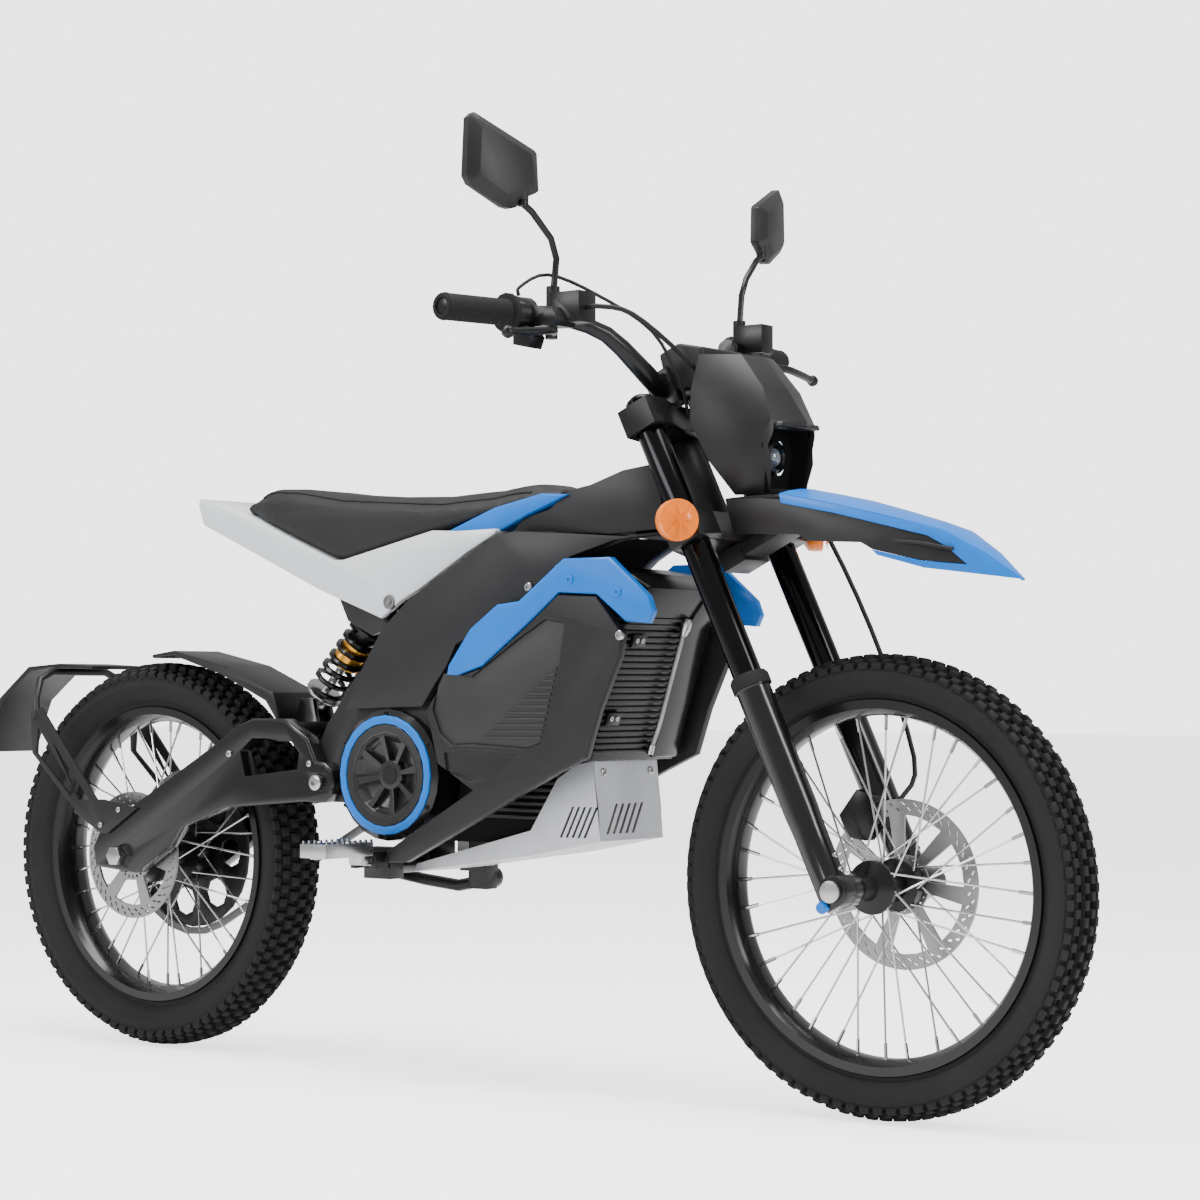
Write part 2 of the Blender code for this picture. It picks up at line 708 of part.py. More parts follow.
LEVER_PIVOT = Vector((0.985, GRIP_IN_Y - 0.031, 1.060))
LEVER_HUB_R = 0.0085
STEM_BALL_R = 0.0075
MIRROR_JOINT = Vector((0.970, GRIP_IN_Y + 0.007, 1.240))
BUTTON_X = 0.928
BUTTON_R = 0.0055
BUTTON_LOW = 1.1070
button_y = GRIP_IN_Y - 0.024


def control(name, side, housing_r, reservoir_half):
    """Housing round the bar, the lever's perch with its reservoir, switch block and mirror stem."""
    start = GRIP_IN - SWEEP * 0.036
    end = GRIP_IN - SWEEP * (GAP * 2)
    housing = pipe(start, end, housing_r, BAR_R + GAP, 16)
    perch = prism(
        [(0.9575, 1.066), (1.001, 1.064), (1.006, 1.076), (0.996, 1.090), (0.9575, 1.094)],
        GRIP_IN_Y - 0.066,
        GRIP_IN_Y - 0.020,
    )
    middle_y = GRIP_IN_Y - 0.062
    reservoir = block((0.976, middle_y - reservoir_half, 1.070), (1.026, middle_y + reservoir_half, 1.112))
    collar = rod((0.972, GRIP_IN_Y - 0.056, 1.082), (0.972, GRIP_IN_Y - 0.056, 1.122), 0.0095, 12)
    stem_points = [
        (0.972, GRIP_IN_Y - 0.056, 1.110),
        (0.977, GRIP_IN_Y - 0.057, 1.160),
        (0.977, GRIP_IN_Y - 0.045, 1.186),
        (0.972, GRIP_IN_Y - 0.010, 1.218),
        (MIRROR_JOINT.x, MIRROR_JOINT.y - 0.0015, MIRROR_JOINT.z - 0.0135),
    ]
    stem_bar = tube(stem_points, 0.0048, 10)
    ball = rod(
        MIRROR_JOINT - Vector((0, 0, 0.0165)),
        MIRROR_JOINT - Vector((0, 0, 0.0085)),
        STEM_BALL_R,
        12,
    )
    switch = prism(
        [(0.944, 1.040), (0.970, 1.034), (0.976, 1.049), (0.966, 1.064), (0.944, 1.068)],
        GRIP_IN_Y - 0.033,
        GRIP_IN_Y - 0.004,
    )
    parts = [on_side(bm, side) for bm in (perch, reservoir, collar, stem_bar, ball, switch)]
    clearance = [tuple(p) for p in half_route[-5:]]
    bore = tube([Vector(p) for p in clearance], [bar_radius(Vector(p)) + 0.0005 for p in clearance], 16)
    cuts = [on_side(bore, side)]
    if side < 0:
        pocket = rod(
            (BUTTON_X, button_y, BUTTON_LOW - 0.012),
            (BUTTON_X, button_y, BUTTON_LOW + 0.03),
            BUTTON_R + GAP,
            16,
        )
        button_boss = rod(
            (BUTTON_X, button_y, 1.086),
            (BUTTON_X, button_y, BUTTON_LOW - 0.001),
            BUTTON_R + 0.004,
            16,
        )
        parts.append(on_side(button_boss, side))
        cuts.append(on_side(pocket, side))
    node(
        name,
        on_side(housing, side),
        "black",
        join=parts,
        cut=cuts,
        pivot=(GRIP_IN.x, side * GRIP_IN.y, GRIP_IN.z),
    )


BUTTON_TRAVEL = 0.003
control("right_control", -1, 0.0235, 0.0190)
control("left_control", 1, 0.0200, 0.0150)
button_foot = BUTTON_LOW - 0.012 + BUTTON_TRAVEL + GAP
start_button = rod(
    (BUTTON_X, button_y, button_foot),
    (BUTTON_X, button_y, BUTTON_LOW + BUTTON_TRAVEL),
    BUTTON_R,
    12,
)
node("start_button", mirrored(start_button), "grey", pivot=(BUTTON_X, -button_y, BUTTON_LOW))

for side, label in ((-1, "right"), (1, "left")):
    lever_top = 1.0632
    pivot = Vector((LEVER_PIVOT.x, side * LEVER_PIVOT.y, LEVER_PIVOT.z))
    hub = rod(
        (LEVER_PIVOT.x + 0.004, LEVER_PIVOT.y, 1.0465),
        (LEVER_PIVOT.x + 0.004, LEVER_PIVOT.y, lever_top),
        LEVER_HUB_R,
        14,
    )
    blade = smooth_route([
        (LEVER_PIVOT.x + 0.006, LEVER_PIVOT.y, 1.0545),
        (LEVER_PIVOT.x + 0.030, LEVER_PIVOT.y + 0.030, 1.0530),
        (LEVER_PIVOT.x + 0.032, LEVER_PIVOT.y + 0.070, 1.0480),
        (LEVER_PIVOT.x + 0.024, LEVER_PIVOT.y + 0.118, 1.0430),
    ], 3)
    blade_bm = tube(blade, 0.0058, 10)
    tip = blade[-1]
    knob = turned(
        [(-0.0085, 0.003), (-0.005, 0.0075), (0.0, 0.009), (0.005, 0.0075), (0.0085, 0.003)],
        tip,
        Y_AXIS,
        12,
    )
    parts = [on_side(bm, side) for bm in (blade_bm, knob)]
    node("brake_lever_" + label, on_side(hub, side), "black_metal", join=parts, pivot=pivot)

MIRROR_TOE = math.radians(16)
MIRROR_OUTLINE = [
    (0.0813, 0.1014),
    (0.0902, 0.0936),
    (0.0940, 0.0156),
    (0.0877, 0.0052),
    (0.0335, -0.0200),
    (0.0223, -0.0216),
    (0.0128, -0.0195),
    (0.0016, -0.0065),
    (-0.0191, 0.0026),
    (-0.0245, 0.0065),
    (-0.0214, 0.0572),
    (-0.0175, 0.0611),
]
MIRROR_BACK = -0.010
MIRROR_FRONT = 0.012
for side, label in ((-1, "right"), (1, "left")):
    outward = Vector((-math.sin(MIRROR_TOE), math.cos(MIRROR_TOE), 0))
    ahead = Vector((math.cos(MIRROR_TOE), math.sin(MIRROR_TOE), 0))
    loops = []
    for depth, share in ((MIRROR_BACK, 1.0), (0.002, 1.0), (MIRROR_FRONT, 0.72)):
        loop = []
        for u, v in MIRROR_OUTLINE:
            centre_u, centre_v = 0.036, 0.036
            su = centre_u + (u - centre_u) * share
            sv = centre_v + (v - centre_v) * share
            loop.append(MIRROR_JOINT + outward * su + Vector((0, 0, sv)) + ahead * depth)
        loops.append(loop)
    head = loft(loops)
    seat_cut = rod(
        MIRROR_JOINT - Vector((0, 0, 0.03)),
        MIRROR_JOINT - Vector((0, 0, 0.0082)),
        STEM_BALL_R + 0.003,
        16,
    )
    post = rod(MIRROR_JOINT - Vector((0, 0, 0.0082)), MIRROR_JOINT + Vector((0, 0, 0.010)), STEM_BALL_R, 12)
    node(
        "mirror_" + label,
        on_side(head, side),
        "charcoal",
        join=[on_side(post, side)],
        cut=[on_side(seat_cut, side)],
        pivot=(MIRROR_JOINT.x, side * MIRROR_JOINT.y, MIRROR_JOINT.z),
    )

# headlight mask, lamp, front fender, indicators -------------------------------------------------
MASK_WALL = 0.0040
MASK_SECTIONS = [
    (0.839, (1.160, 0.062), (1.190, 0.054), (1.214, 0.035), 1.221),
    (0.885, (1.132, 0.084), (1.188, 0.072), (1.221, 0.046), 1.230),
    (0.940, (1.104, 0.090), (1.176, 0.080), (1.214, 0.055), 1.236),
    (0.985, (1.105, 0.088), (1.160, 0.072), (1.196, 0.046), 1.206),
    (1.034, (1.110, 0.076), (1.134, 0.060), (1.156, 0.040), 1.166),
]
mask_loops = []
for z, rear, flank, front, nose in MASK_SECTIONS:
    outer = [rear, flank, front, (nose, 0.0)]
    inner = [
        (rear[0], rear[1] - MASK_WALL),
        (flank[0] - MASK_WALL, flank[1] - MASK_WALL),
        (front[0] - MASK_WALL, front[1] - MASK_WALL),
        (nose - MASK_WALL, 0.0),
    ]
    ring = [(x, y, z) for x, y in outer] + [(x, -y, z) for x, y in reversed(outer[:-1])]
    ring += [(x, -y, z) for x, y in inner[:-1]] + [(x, y, z) for x, y in reversed(inner)]
    mask_loops.append(ring)
mask_bm = loft(mask_loops)
bmesh.ops.triangulate(mask_bm, faces=mask_bm.faces)
LAMP_LOW = 0.860
LAMP_HIGH = 0.928
LAMP_HALF = 0.036
pocket = block((1.150, -LAMP_HALF, LAMP_LOW), (1.260, LAMP_HALF, LAMP_HIGH))
node("headlight_mask", mask_bm, "black", cut=[pocket])
lamp = block((1.140, -LAMP_HALF + GAP, LAMP_LOW + GAP), (1.214, LAMP_HALF - GAP, LAMP_HIGH - GAP))
clamp_front = fork_point(0.046, 0, (CLAMP_LOW + CLAMP_LOW_TOP) / 2)
arm_end = clamp_front + AHEAD_FORK * (CLEAR * 2)
lamp_arm = loft([
    [
        arm_end + UP_FORK * u + Y_AXIS * v
        for u, v in ((-0.014, -0.020), (0.014, -0.020), (0.014, 0.020), (-0.014, 0.020))
    ],
    [
        Vector((1.150, v, 0.880 + u))
        for u, v in ((-0.010, -0.020), (0.014, -0.020), (0.014, 0.020), (-0.010, 0.020))
    ],
])
node("headlamp", lamp, "grey", join=[lamp_arm])

FENDER_FROM = 1.150
FENDER_STEP = 0.0422
FENDER_HALF = [(1.150, 0.070), (1.240, 0.088), (1.363, 0.088), (1.470, 0.060), (1.520, 0.030)]
BLADE_HALF = [
    (1.190, 0.020),
    (1.300, 0.052),
    (1.402, 0.096),
    (1.440, 0.084),
    (1.500, 0.046),
    (1.572, 0.004),
]


def width_at(corners, x):
    """Half width on the straight lines between (x, half width) corners."""
    for (x0, half0), (x1, half1) in zip(corners, corners[1:]):
        if x <= x1:
            return half0 + (half1 - half0) * (x - x0) / (x1 - x0)
    return corners[-1][1]


def fender_stations(corners, first, last):
    """Stations on the fender's own grid, so that the blade and the fender follow the same crown."""
    places = [FENDER_FROM + FENDER_STEP * k for k in range(first, last + 1)]
    return [(x, width_at(corners, x)) for x in places]


def fender_height(x, y):
    """Crown height of the front fender: falls forward and towards its edges."""
    fall = (x - 1.150) / 0.422
    return 0.832 - 0.018 * fall - 0.080 * fall**2.2 - 2.6 * y * y


def fender_strip(stations, thick, drop):
    """Curved sheet across the fender from (x, half width) stations."""
    loops = []
    for x, half in stations:
        shares = [-1, -0.66, -0.33, 0, 0.33, 0.66, 1]
        top = [(x, half * s, fender_height(x, half * s) - drop) for s in shares]
        low = [(px, py, pz - thick) for px, py, pz in reversed(top)]
        loops.append(top + low)
    return loft(loops)


FENDER_T = 0.004
BLADE_T = 0.0035
BLADE_GAP = 0.0013
fender = fender_strip(fender_stations(FENDER_HALF, 0, 8), FENDER_T, BLADE_T + BLADE_GAP)
foot_outline = [(0.010, -0.030), (0.050, -0.030), (0.050, 0.030), (0.010, 0.030)]
fender_foot = fork_prism(foot_outline, CLAMP_LOW - 0.030, CLAMP_LOW - GAP)
fender_arm = loft([
    [(1.128, y, z) for y, z in ((-0.028, 0.745), (0.028, 0.745), (0.028, 0.7690), (-0.028, 0.7690))],
    [(1.230, y, z) for y, z in ((-0.028, 0.800), (0.028, 0.800), (0.028, 0.819), (-0.028, 0.819))],
])
node("front_fender", fender, "black", join=[fender_arm, fender_foot])
node("fender_blade", fender_strip(fender_stations(BLADE_HALF, 1, 10), BLADE_T, 0.0), "blue")

INDICATOR = Vector((1.139, 0.170, 0.800))
LUG_SIDE = LEG_HALF + 0.0291
for side, label in ((-1, "right"), (1, "left")):
    lens_axis = Vector((0.80, 0.60, 0.0)).normalized()
    body = turned(
        [(-0.016, 0.018), (-0.008, 0.028), (0.004, 0.028), (0.010, 0.021)],
        INDICATOR,
        lens_axis,
        16,
    )
    stalk = rod(
        fork_point(LEG_AHEAD + 0.004, LUG_SIDE - 0.006, 0.545),
        INDICATOR - lens_axis * 0.010,
        0.006,
        10,
    )
    keep_out = block((1.0, 0.0, 0.7), (1.2, LUG_SIDE + GAP * 2, 0.9))
    node(
        "indicator_" + label,
        on_side(body, side),
        "orange",
        join=[on_side(stalk, side)],
        cut=[on_side(keep_out, side)],
    )

# swingarm and what it carries -------------------------------------------------------------------
ARM_TOP = [(0.046, 0.398), (0.189, 0.476), (0.263, 0.520), (0.293, 0.529), (0.360, 0.529), (0.408, 0.500)]
ARM_LOW = [(0.403, 0.404), (0.239, 0.392), (0.139, 0.361), (0.109, 0.327), (0.037, 0.283)]
ARM_WINDOW = [
    (0.268, 0.479),
    (0.293, 0.499),
    (0.372, 0.499),
    (0.392, 0.478),
    (0.388, 0.453),
    (0.278, 0.440),
]
ARM_REAR = [(-0.054, 0.290), (-0.060, 0.322), (-0.046, 0.345)]
PIVOT_BOSS_R = 0.032


def along_arm(x):
    """Rear stations follow the rear axle; those at the pivot stay with the frame."""
    share = min(max((PIVOT.x - 0.10 - x) / (PIVOT.x - 0.10), 0), 1)
    return x + REAR_X * share


def arm_points(outline):
    return [(along_arm(x), z) for x, z in outline]


boss_arc = []
for k in range(7):
    at = math.radians(100 - 200 * k / 6)
    boss_arc.append((PIVOT.x + PIVOT_BOSS_R * math.cos(at), PIVOT.z + PIVOT_BOSS_R * math.sin(at)))
arm_outline = arm_points(ARM_REAR + ARM_TOP) + boss_arc + arm_points(ARM_LOW)
arm_base = prism(arm_outline, ARM_IN, ARM_OUT, 0.003)
arm_parts = [mirrored(prism(arm_outline, ARM_IN, ARM_OUT, 0.003))]
arm_parts.append(block((0.292, -ARM_IN - 0.004, 0.494), (0.356, ARM_IN + 0.004, 0.524)))
arm_parts.append(block((0.352, -ARM_IN - 0.004, 0.404), (0.384, ARM_IN + 0.004, 0.432)))
SHOCK_EAR_Y = 0.0135
SHOCK_EAR_T = 0.0080
for side in (-1, 1):
    ear = prism(
        [(0.304, 0.520), (0.350, 0.520), (0.340, 0.560), (0.314, 0.560)],
        SHOCK_EAR_Y,
        SHOCK_EAR_Y + SHOCK_EAR_T,
    )
    arm_parts.append(on_side(ear, side))
arm_cuts = []
for side in (-1, 1):
    arm_cuts.append(on_side(prism(arm_points(ARM_WINDOW), ARM_IN - 0.01, ARM_OUT + 0.01), side))
arm_cuts.append(rod(PIVOT - Y_AXIS * 0.2, PIVOT + Y_AXIS * 0.2, PIVOT_R + GAP, 16))
arm_cuts.append(rod(REAR_AXLE - Y_AXIS * 0.2, REAR_AXLE + Y_AXIS * 0.2, AXLE_R + GAP, 16))
node("swingarm", arm_base, "black", join=arm_parts, cut=arm_cuts, pivot=PIVOT)

axle_end = ARM_OUT + GAP
rear_axle_bm = rod(
    REAR_AXLE - Y_AXIS * (axle_end + 0.004),
    REAR_AXLE + Y_AXIS * (axle_end + 0.004),
    AXLE_R,
    16,
)
nuts = []
for side in (-1, 1):
    start = REAR_AXLE + Y_AXIS * side * axle_end
    nuts.append(rod(start, start + Y_AXIS * side * 0.012, 0.016, 6))
node("rear_axle", rear_axle_bm, "silver", join=nuts, pivot=REAR_AXLE)

CALIPER_REAR = [
    (0.040, 0.352),
    (0.034, 0.384),
    (0.060, 0.398),
    (0.104, 0.404),
    (0.118, 0.372),
    (0.084, 0.352),
]
caliper_rear = prism([(x + REAR_X, z) for x, z in CALIPER_REAR], -ARM_IN + GAP, REAR_DISC_Y + 0.012)
rear_slot = rod(
    REAR_AXLE + Y_AXIS * (REAR_DISC_Y - DISC_T / 2 - 0.0008),
    REAR_AXLE + Y_AXIS * (REAR_DISC_Y + DISC_T / 2 + 0.0008),
    REAR_DISC_R + 0.0015,
    40,
)
node("rear_caliper", caliper_rear, "grey", cut=[rear_slot])

STAY_IN = ARM_OUT + GAP
STAY_OUT = STAY_IN + 0.004
STAY_PLATE = [
    (-0.033, 0.398),
    (0.046, 0.386),
    (-0.022, 0.344),
    (-0.036, 0.344),
    (-0.100, 0.376),
    (-0.090, 0.396),
]
STAY_RUNG = [(-0.097, 0.380), (-0.090, 0.396), (-0.183, 0.536), (-0.204, 0.536), (-0.200, 0.470)]
STAY_BRACE = [(-0.060, 0.392), (-0.042, 0.392), (-0.180, 0.545), (-0.196, 0.536)]
stay = prism([(x + REAR_X, z) for x, z in STAY_PLATE], STAY_IN, STAY_OUT)
stay_parts = [prism([(x + REAR_X, z) for x, z in STAY_RUNG], STAY_IN, STAY_OUT)]
stay_parts.append(prism([(x + REAR_X, z) for x, z in STAY_BRACE], STAY_IN, STAY_OUT))
other_side = [
    mirrored(prism([(x + REAR_X, z) for x, z in o], STAY_IN, STAY_OUT))
    for o in (STAY_PLATE, STAY_RUNG, STAY_BRACE)
]
BAR_TOP_Z = 0.6030
STAY_BAR_R = 0.0065
half_cross = [
    (REAR_X - 0.193, STAY_IN + 0.002, 0.526),
    (REAR_X - 0.200, STAY_IN - 0.004, 0.560),
    (REAR_X - 0.208, 0.088, 0.590),
    (REAR_X - 0.212, 0.060, BAR_TOP_Z),
]
cross_bar = tube(half_cross + [(x, -y, z) for x, y, z in reversed(half_cross)], STAY_BAR_R, 10)
window = prism(
    [(x + REAR_X, z) for x, z in [(-0.108, 0.402), (-0.098, 0.410), (-0.186, 0.512), (-0.189, 0.470)]],
    0.08,
    0.14,
)
window_right = mirrored(
    prism(
        [(x + REAR_X, z) for x, z in [(-0.108, 0.402), (-0.098, 0.410), (-0.186, 0.512), (-0.189, 0.470)]],
        0.08,
        0.14,
    )
)
node(
    "fender_stay",
    stay,
    "black_metal",
    join=stay_parts + other_side + [cross_bar],
    cut=[window, window_right],
)

FENDER_REAR_HALF = 0.055
FENDER_SEAT_Z = BAR_TOP_Z + STAY_BAR_R + GAP
fender_route = [
    (-0.383, 0.470),
    (-0.346, 0.560),
    (-0.275, 0.612),
    (-0.200, FENDER_SEAT_Z + 0.007),
    (-0.120, 0.613),
]
fender_low = [
    (-0.120, 0.607),
    (-0.200, FENDER_SEAT_Z),
    (-0.224, FENDER_SEAT_Z),
    (-0.270, 0.604),
    (-0.338, 0.555),
    (-0.377, 0.468),
]
rear_fender_bm = prism(
    [(x + REAR_X, z) for x, z in fender_route + fender_low],
    -FENDER_REAR_HALF,
    FENDER_REAR_HALF,
)
node("rear_fender", rear_fender_bm, "black")

hugger_top = [(0.017, 0.630), (0.065, 0.636), (0.180, 0.612), (0.285, 0.569), (0.3000, 0.5243)]
hugger_low = [(0.2925, 0.5243), (0.268, 0.556), (0.170, 0.598), (0.065, 0.628), (0.017, 0.624)]
hugger_bm = prism([(x, z) for x, z in hugger_top + hugger_low], -0.052, 0.052)
node("hugger", hugger_bm, "charcoal")

shock_axis = (SHOCK_HIGH - SHOCK_LOW).normalized()
shock_length = (SHOCK_HIGH - SHOCK_LOW).length
PERCH_LOW = 0.028
PERCH_T = 0.005
PERCH_HIGH = shock_length - 0.046
EYE_R = 0.0125
EYE_HALF = SHOCK_EAR_Y - GAP * 2
BODY_LOW = 0.090
body_profile = [
    (BODY_LOW, SHOCK_BODY_R),
    (PERCH_HIGH, SHOCK_BODY_R),
    (PERCH_HIGH, SPRING_R + 0.005),
    (PERCH_HIGH + PERCH_T, SPRING_R + 0.005),
    (PERCH_HIGH + PERCH_T, SHOCK_BODY_R),
    (shock_length - 0.020, SHOCK_BODY_R - 0.004),
    (shock_length - 0.004, 0.010),
]
shock_body = turned(body_profile, SHOCK_LOW, shock_axis, 16)
rod_bore = rod(
    SHOCK_LOW + shock_axis * (BODY_LOW - 0.01),
    SHOCK_LOW + shock_axis * (shock_length - 0.032),
    0.0078,
    16,
)
eye_high = rod(SHOCK_HIGH - Y_AXIS * EYE_HALF, SHOCK_HIGH + Y_AXIS * EYE_HALF, EYE_R, 16)
pin_bore = rod(SHOCK_HIGH - Y_AXIS * 0.1, SHOCK_HIGH + Y_AXIS * 0.1, SHOCK_PIN_R + GAP, 16)
node("shock_body", shock_body, "black_metal", join=[eye_high], cut=[rod_bore, pin_bore], pivot=SHOCK_HIGH)
rod_profile = [
    (0.004, 0.0085),
    (PERCH_LOW - 0.006, 0.0085),
    (PERCH_LOW - 0.002, SPRING_R + 0.003),
    (PERCH_LOW + PERCH_T - 0.002, SPRING_R + 0.003),
    (PERCH_LOW + PERCH_T - 0.002, 0.0070),
    (BODY_LOW + 0.030, 0.0070),
]
rod_bm = turned(rod_profile, SHOCK_LOW, shock_axis, 16)
eye_low = rod(SHOCK_LOW - Y_AXIS * EYE_HALF, SHOCK_LOW + Y_AXIS * EYE_HALF, EYE_R, 16)
node("shock_rod", rod_bm, "silver", join=[eye_low], pivot=SHOCK_LOW)
coil = []
coil_low = PERCH_LOW + PERCH_T - 0.002 + SPRING_WIRE + CLEAR
coil_high = PERCH_HIGH - SPRING_WIRE - CLEAR
_, shock_side, shock_up = cross_axes(shock_axis)
COIL_STEPS = 10
for k in range(SPRING_TURNS * COIL_STEPS + 1):
    turn = 2 * math.pi * k / COIL_STEPS
    height = coil_low + (coil_high - coil_low) * k / (SPRING_TURNS * COIL_STEPS)
    coil.append(
        SHOCK_LOW + shock_axis * height + (
            shock_side * math.cos(turn) + shock_up * math.sin(turn)
        ) * SPRING_R
    )
node("shock_spring", tube(coil, SPRING_WIRE, 6), "black_metal", pivot=SHOCK_LOW)

# main frame -------------------------------------------------------------------------------------
SPAR_TOP = [
    (1.058, 0.795),
    (0.980, 0.788),
    (0.814, 0.799),
    (0.777, 0.794),
    (0.732, 0.771),
    (0.615, 0.707),
    (0.561, 0.663),
]
SPAR_REAR = [(0.525, 0.609), (0.489, 0.545)]
SPAR_LOW = [
    (0.639, 0.549),
    (0.657, 0.573),
    (0.686, 0.608),
    (0.703, 0.639),
    (0.822, 0.690),
    (0.861, 0.724),
    (0.910, 0.761),
    (0.970, 0.783),
    (1.058, 0.7932),
]
TAPER_FROM = 0.900


def draw_in(bm):
    """Bends the front of a spar in towards the head tube."""
    for v in bm.verts:
        share = min(max((v.co.x - TAPER_FROM) / (1.058 - TAPER_FROM), 0), 1)
        v.co.y -= 0.062 * share * (1 if v.co.y > 0 else -1)
    return bm


def spar(side):
    bm = prism(SPAR_TOP + SPAR_REAR + SPAR_LOW, SPAR_IN, SPAR_OUT)
    bmesh.ops.triangulate(bm, faces=bm.faces)
    return on_side(draw_in(bm), side)


HEAD_LOW = CLAMP_LOW_TOP + 0.0035
HEAD_HIGH = CLAMP_HIGH - 0.0035
PLATE_IN = 0.0700
PLATE_OUT = ARM_IN - 0.0010
frame_parts = [spar(1)]
for side in (-1, 1):
    plate = prism(
        [
            (0.489, 0.600),
            (0.600, 0.640),
            (0.600, 0.556),
            (0.520, 0.556),
            (0.463, 0.470),
            (0.466, 0.404),
            (0.398, 0.404),
            (0.398, 0.466),
            (0.425, 0.520),
        ],
        PLATE_IN,
        PLATE_OUT,
    )
    frame_parts.append(on_side(plate, side))
    frame_parts.append(
        on_side(block((0.515, PLATE_IN + 0.002, 0.560), (0.590, SPAR_IN + 0.004, 0.595)), side)
    )
    frame_parts.append(on_side(tube([
        (0.270, 0.060, SEAT[1][2] + 0.0115 - RAIL_DROP),
        (SEAT[2][0], 0.060, SEAT[2][2] - RAIL_DROP),
        (SEAT[3][0], 0.060, SEAT[3][2] - RAIL_DROP),
        (0.505, 0.066, 0.710),
        (0.545, 0.072, 0.671),
        (0.588, 0.094, 0.648),
    ], RAIL_R, 10), side))
    frame_parts.append(
        on_side(
            prism(
                [
                    (0.420, 0.740),
                    (0.452, 0.678),
                    (0.500, 0.655),
                    (0.545, 0.668),
                    (0.545, 0.690),
                    (0.460, 0.745),
                ],
                0.0560,
                0.0640,
            ),
            side,
        )
    )
cross_spots = [((0.300, 0.805), 0.066, 0.008), ((0.575, 0.580), 0.080, 0.012)]
for (x, z), half, radius in cross_spots:
    frame_parts.append(rod((x, -half, z), (x, half, z), radius, 12))
frame_parts.append(rod(SHOCK_HIGH - Y_AXIS * 0.062, SHOCK_HIGH + Y_AXIS * 0.062, SHOCK_PIN_R, 16))
frame_parts.append(rod(PIVOT - Y_AXIS * (ARM_OUT + 0.004), PIVOT + Y_AXIS * (ARM_OUT + 0.004), PIVOT_R, 16))
frame_parts.append(
    prism(
        [(0.980, 0.7865), (1.020, 0.7885), (1.060, 0.7935), (1.060, 0.7948), (0.980, 0.7948)],
        -0.045,
        0.045,
    )
)
GUSSET_HALF = 0.0200
GUSSET_TOP = 0.8350
frame_parts.append(
    prism(
        [(0.985, 0.7880), (1.058, 0.7932), (1.052, GUSSET_TOP), (1.020, GUSSET_TOP)],
        -GUSSET_HALF,
        GUSSET_HALF,
    )
)
head_tube = pipe(fork_point(0, 0, HEAD_LOW), fork_point(0, 0, HEAD_HIGH), HEAD_R, STEM_R + GAP, 16)
frame_parts.append(head_tube)
stem_room = rod(fork_point(0, 0, HEAD_LOW - 0.1), fork_point(0, 0, HEAD_HIGH + 0.1), STEM_R + GAP, 16)
node("main_frame", spar(-1), "charcoal", join=frame_parts, cut=[stem_room])

# battery, motor, skid plate, covers --------------------------------------------------------------
BATTERY = [
    (0.7200, BATTERY_LOW),
    (0.9390, BATTERY_LOW),
    (0.9620, 0.545),
    (1.0000, 0.660),
    (1.0450, 0.714),
    (1.0100, 0.735),
    (0.9250, 0.748),
    (0.8650, 0.714),
    (0.8280, 0.682),
    (0.7100, 0.628),
    (0.7000, 0.600),
]
MOTOR_HALF = 0.1120
node("battery_pack", prism(BATTERY, -BATTERY_HALF, BATTERY_HALF, 0.003), "charcoal")
motor_centre = Vector((MOTOR_X, 0, MOTOR_Z))
case = rod(motor_centre - Y_AXIS * 0.066, motor_centre + Y_AXIS * 0.066, MOTOR_R - 0.004, 24)
right_case = mirrored(
    turned(
        [
            (0.060, MOTOR_R - 0.006),
            (0.064, MOTOR_R),
            (MOTOR_HALF, MOTOR_R),
            (MOTOR_HALF + 0.006, MOTOR_R - 0.008),
            (MOTOR_HALF + 0.006, 0.060),
            (MOTOR_HALF - 0.018, 0.048),
            (MOTOR_HALF - 0.018, 0.020),
            (MOTOR_HALF - 0.002, 0.014),
        ],
        motor_centre,
        Y_AXIS,
        24,
    )
)
left_case = turned([(0.060, 0.070), (0.100, 0.068), (0.106, 0.060)], motor_centre, Y_AXIS, 16)
front_lug = prism([(0.640, 0.478), (0.7186, 0.478), (0.7120, 0.520), (0.640, 0.520)], -0.060, 0.060)
top_lug = block((0.545, -0.055, 0.520), (0.605, 0.055, 0.5677))
motor_parts = [right_case, left_case, front_lug, top_lug]
ring_cut = mirrored(
    pipe(
        motor_centre + Y_AXIS * (MOTOR_HALF - 0.002),
        motor_centre + Y_AXIS * 0.2,
        RING_R + 0.006 + GAP,
        RING_R - 0.006 - GAP,
        24,
    )
)
node("motor", case, "black_metal", join=motor_parts, cut=[ring_cut], pivot=motor_centre)
ring_bm = mirrored(
    pipe(
        motor_centre + Y_AXIS * (MOTOR_HALF - 0.002 + GAP),
        motor_centre + Y_AXIS * (MOTOR_HALF + 0.009),
        RING_R + 0.006,
        RING_R - 0.006,
        24,
    )
)
node("motor_ring", ring_bm, "blue", pivot=motor_centre)

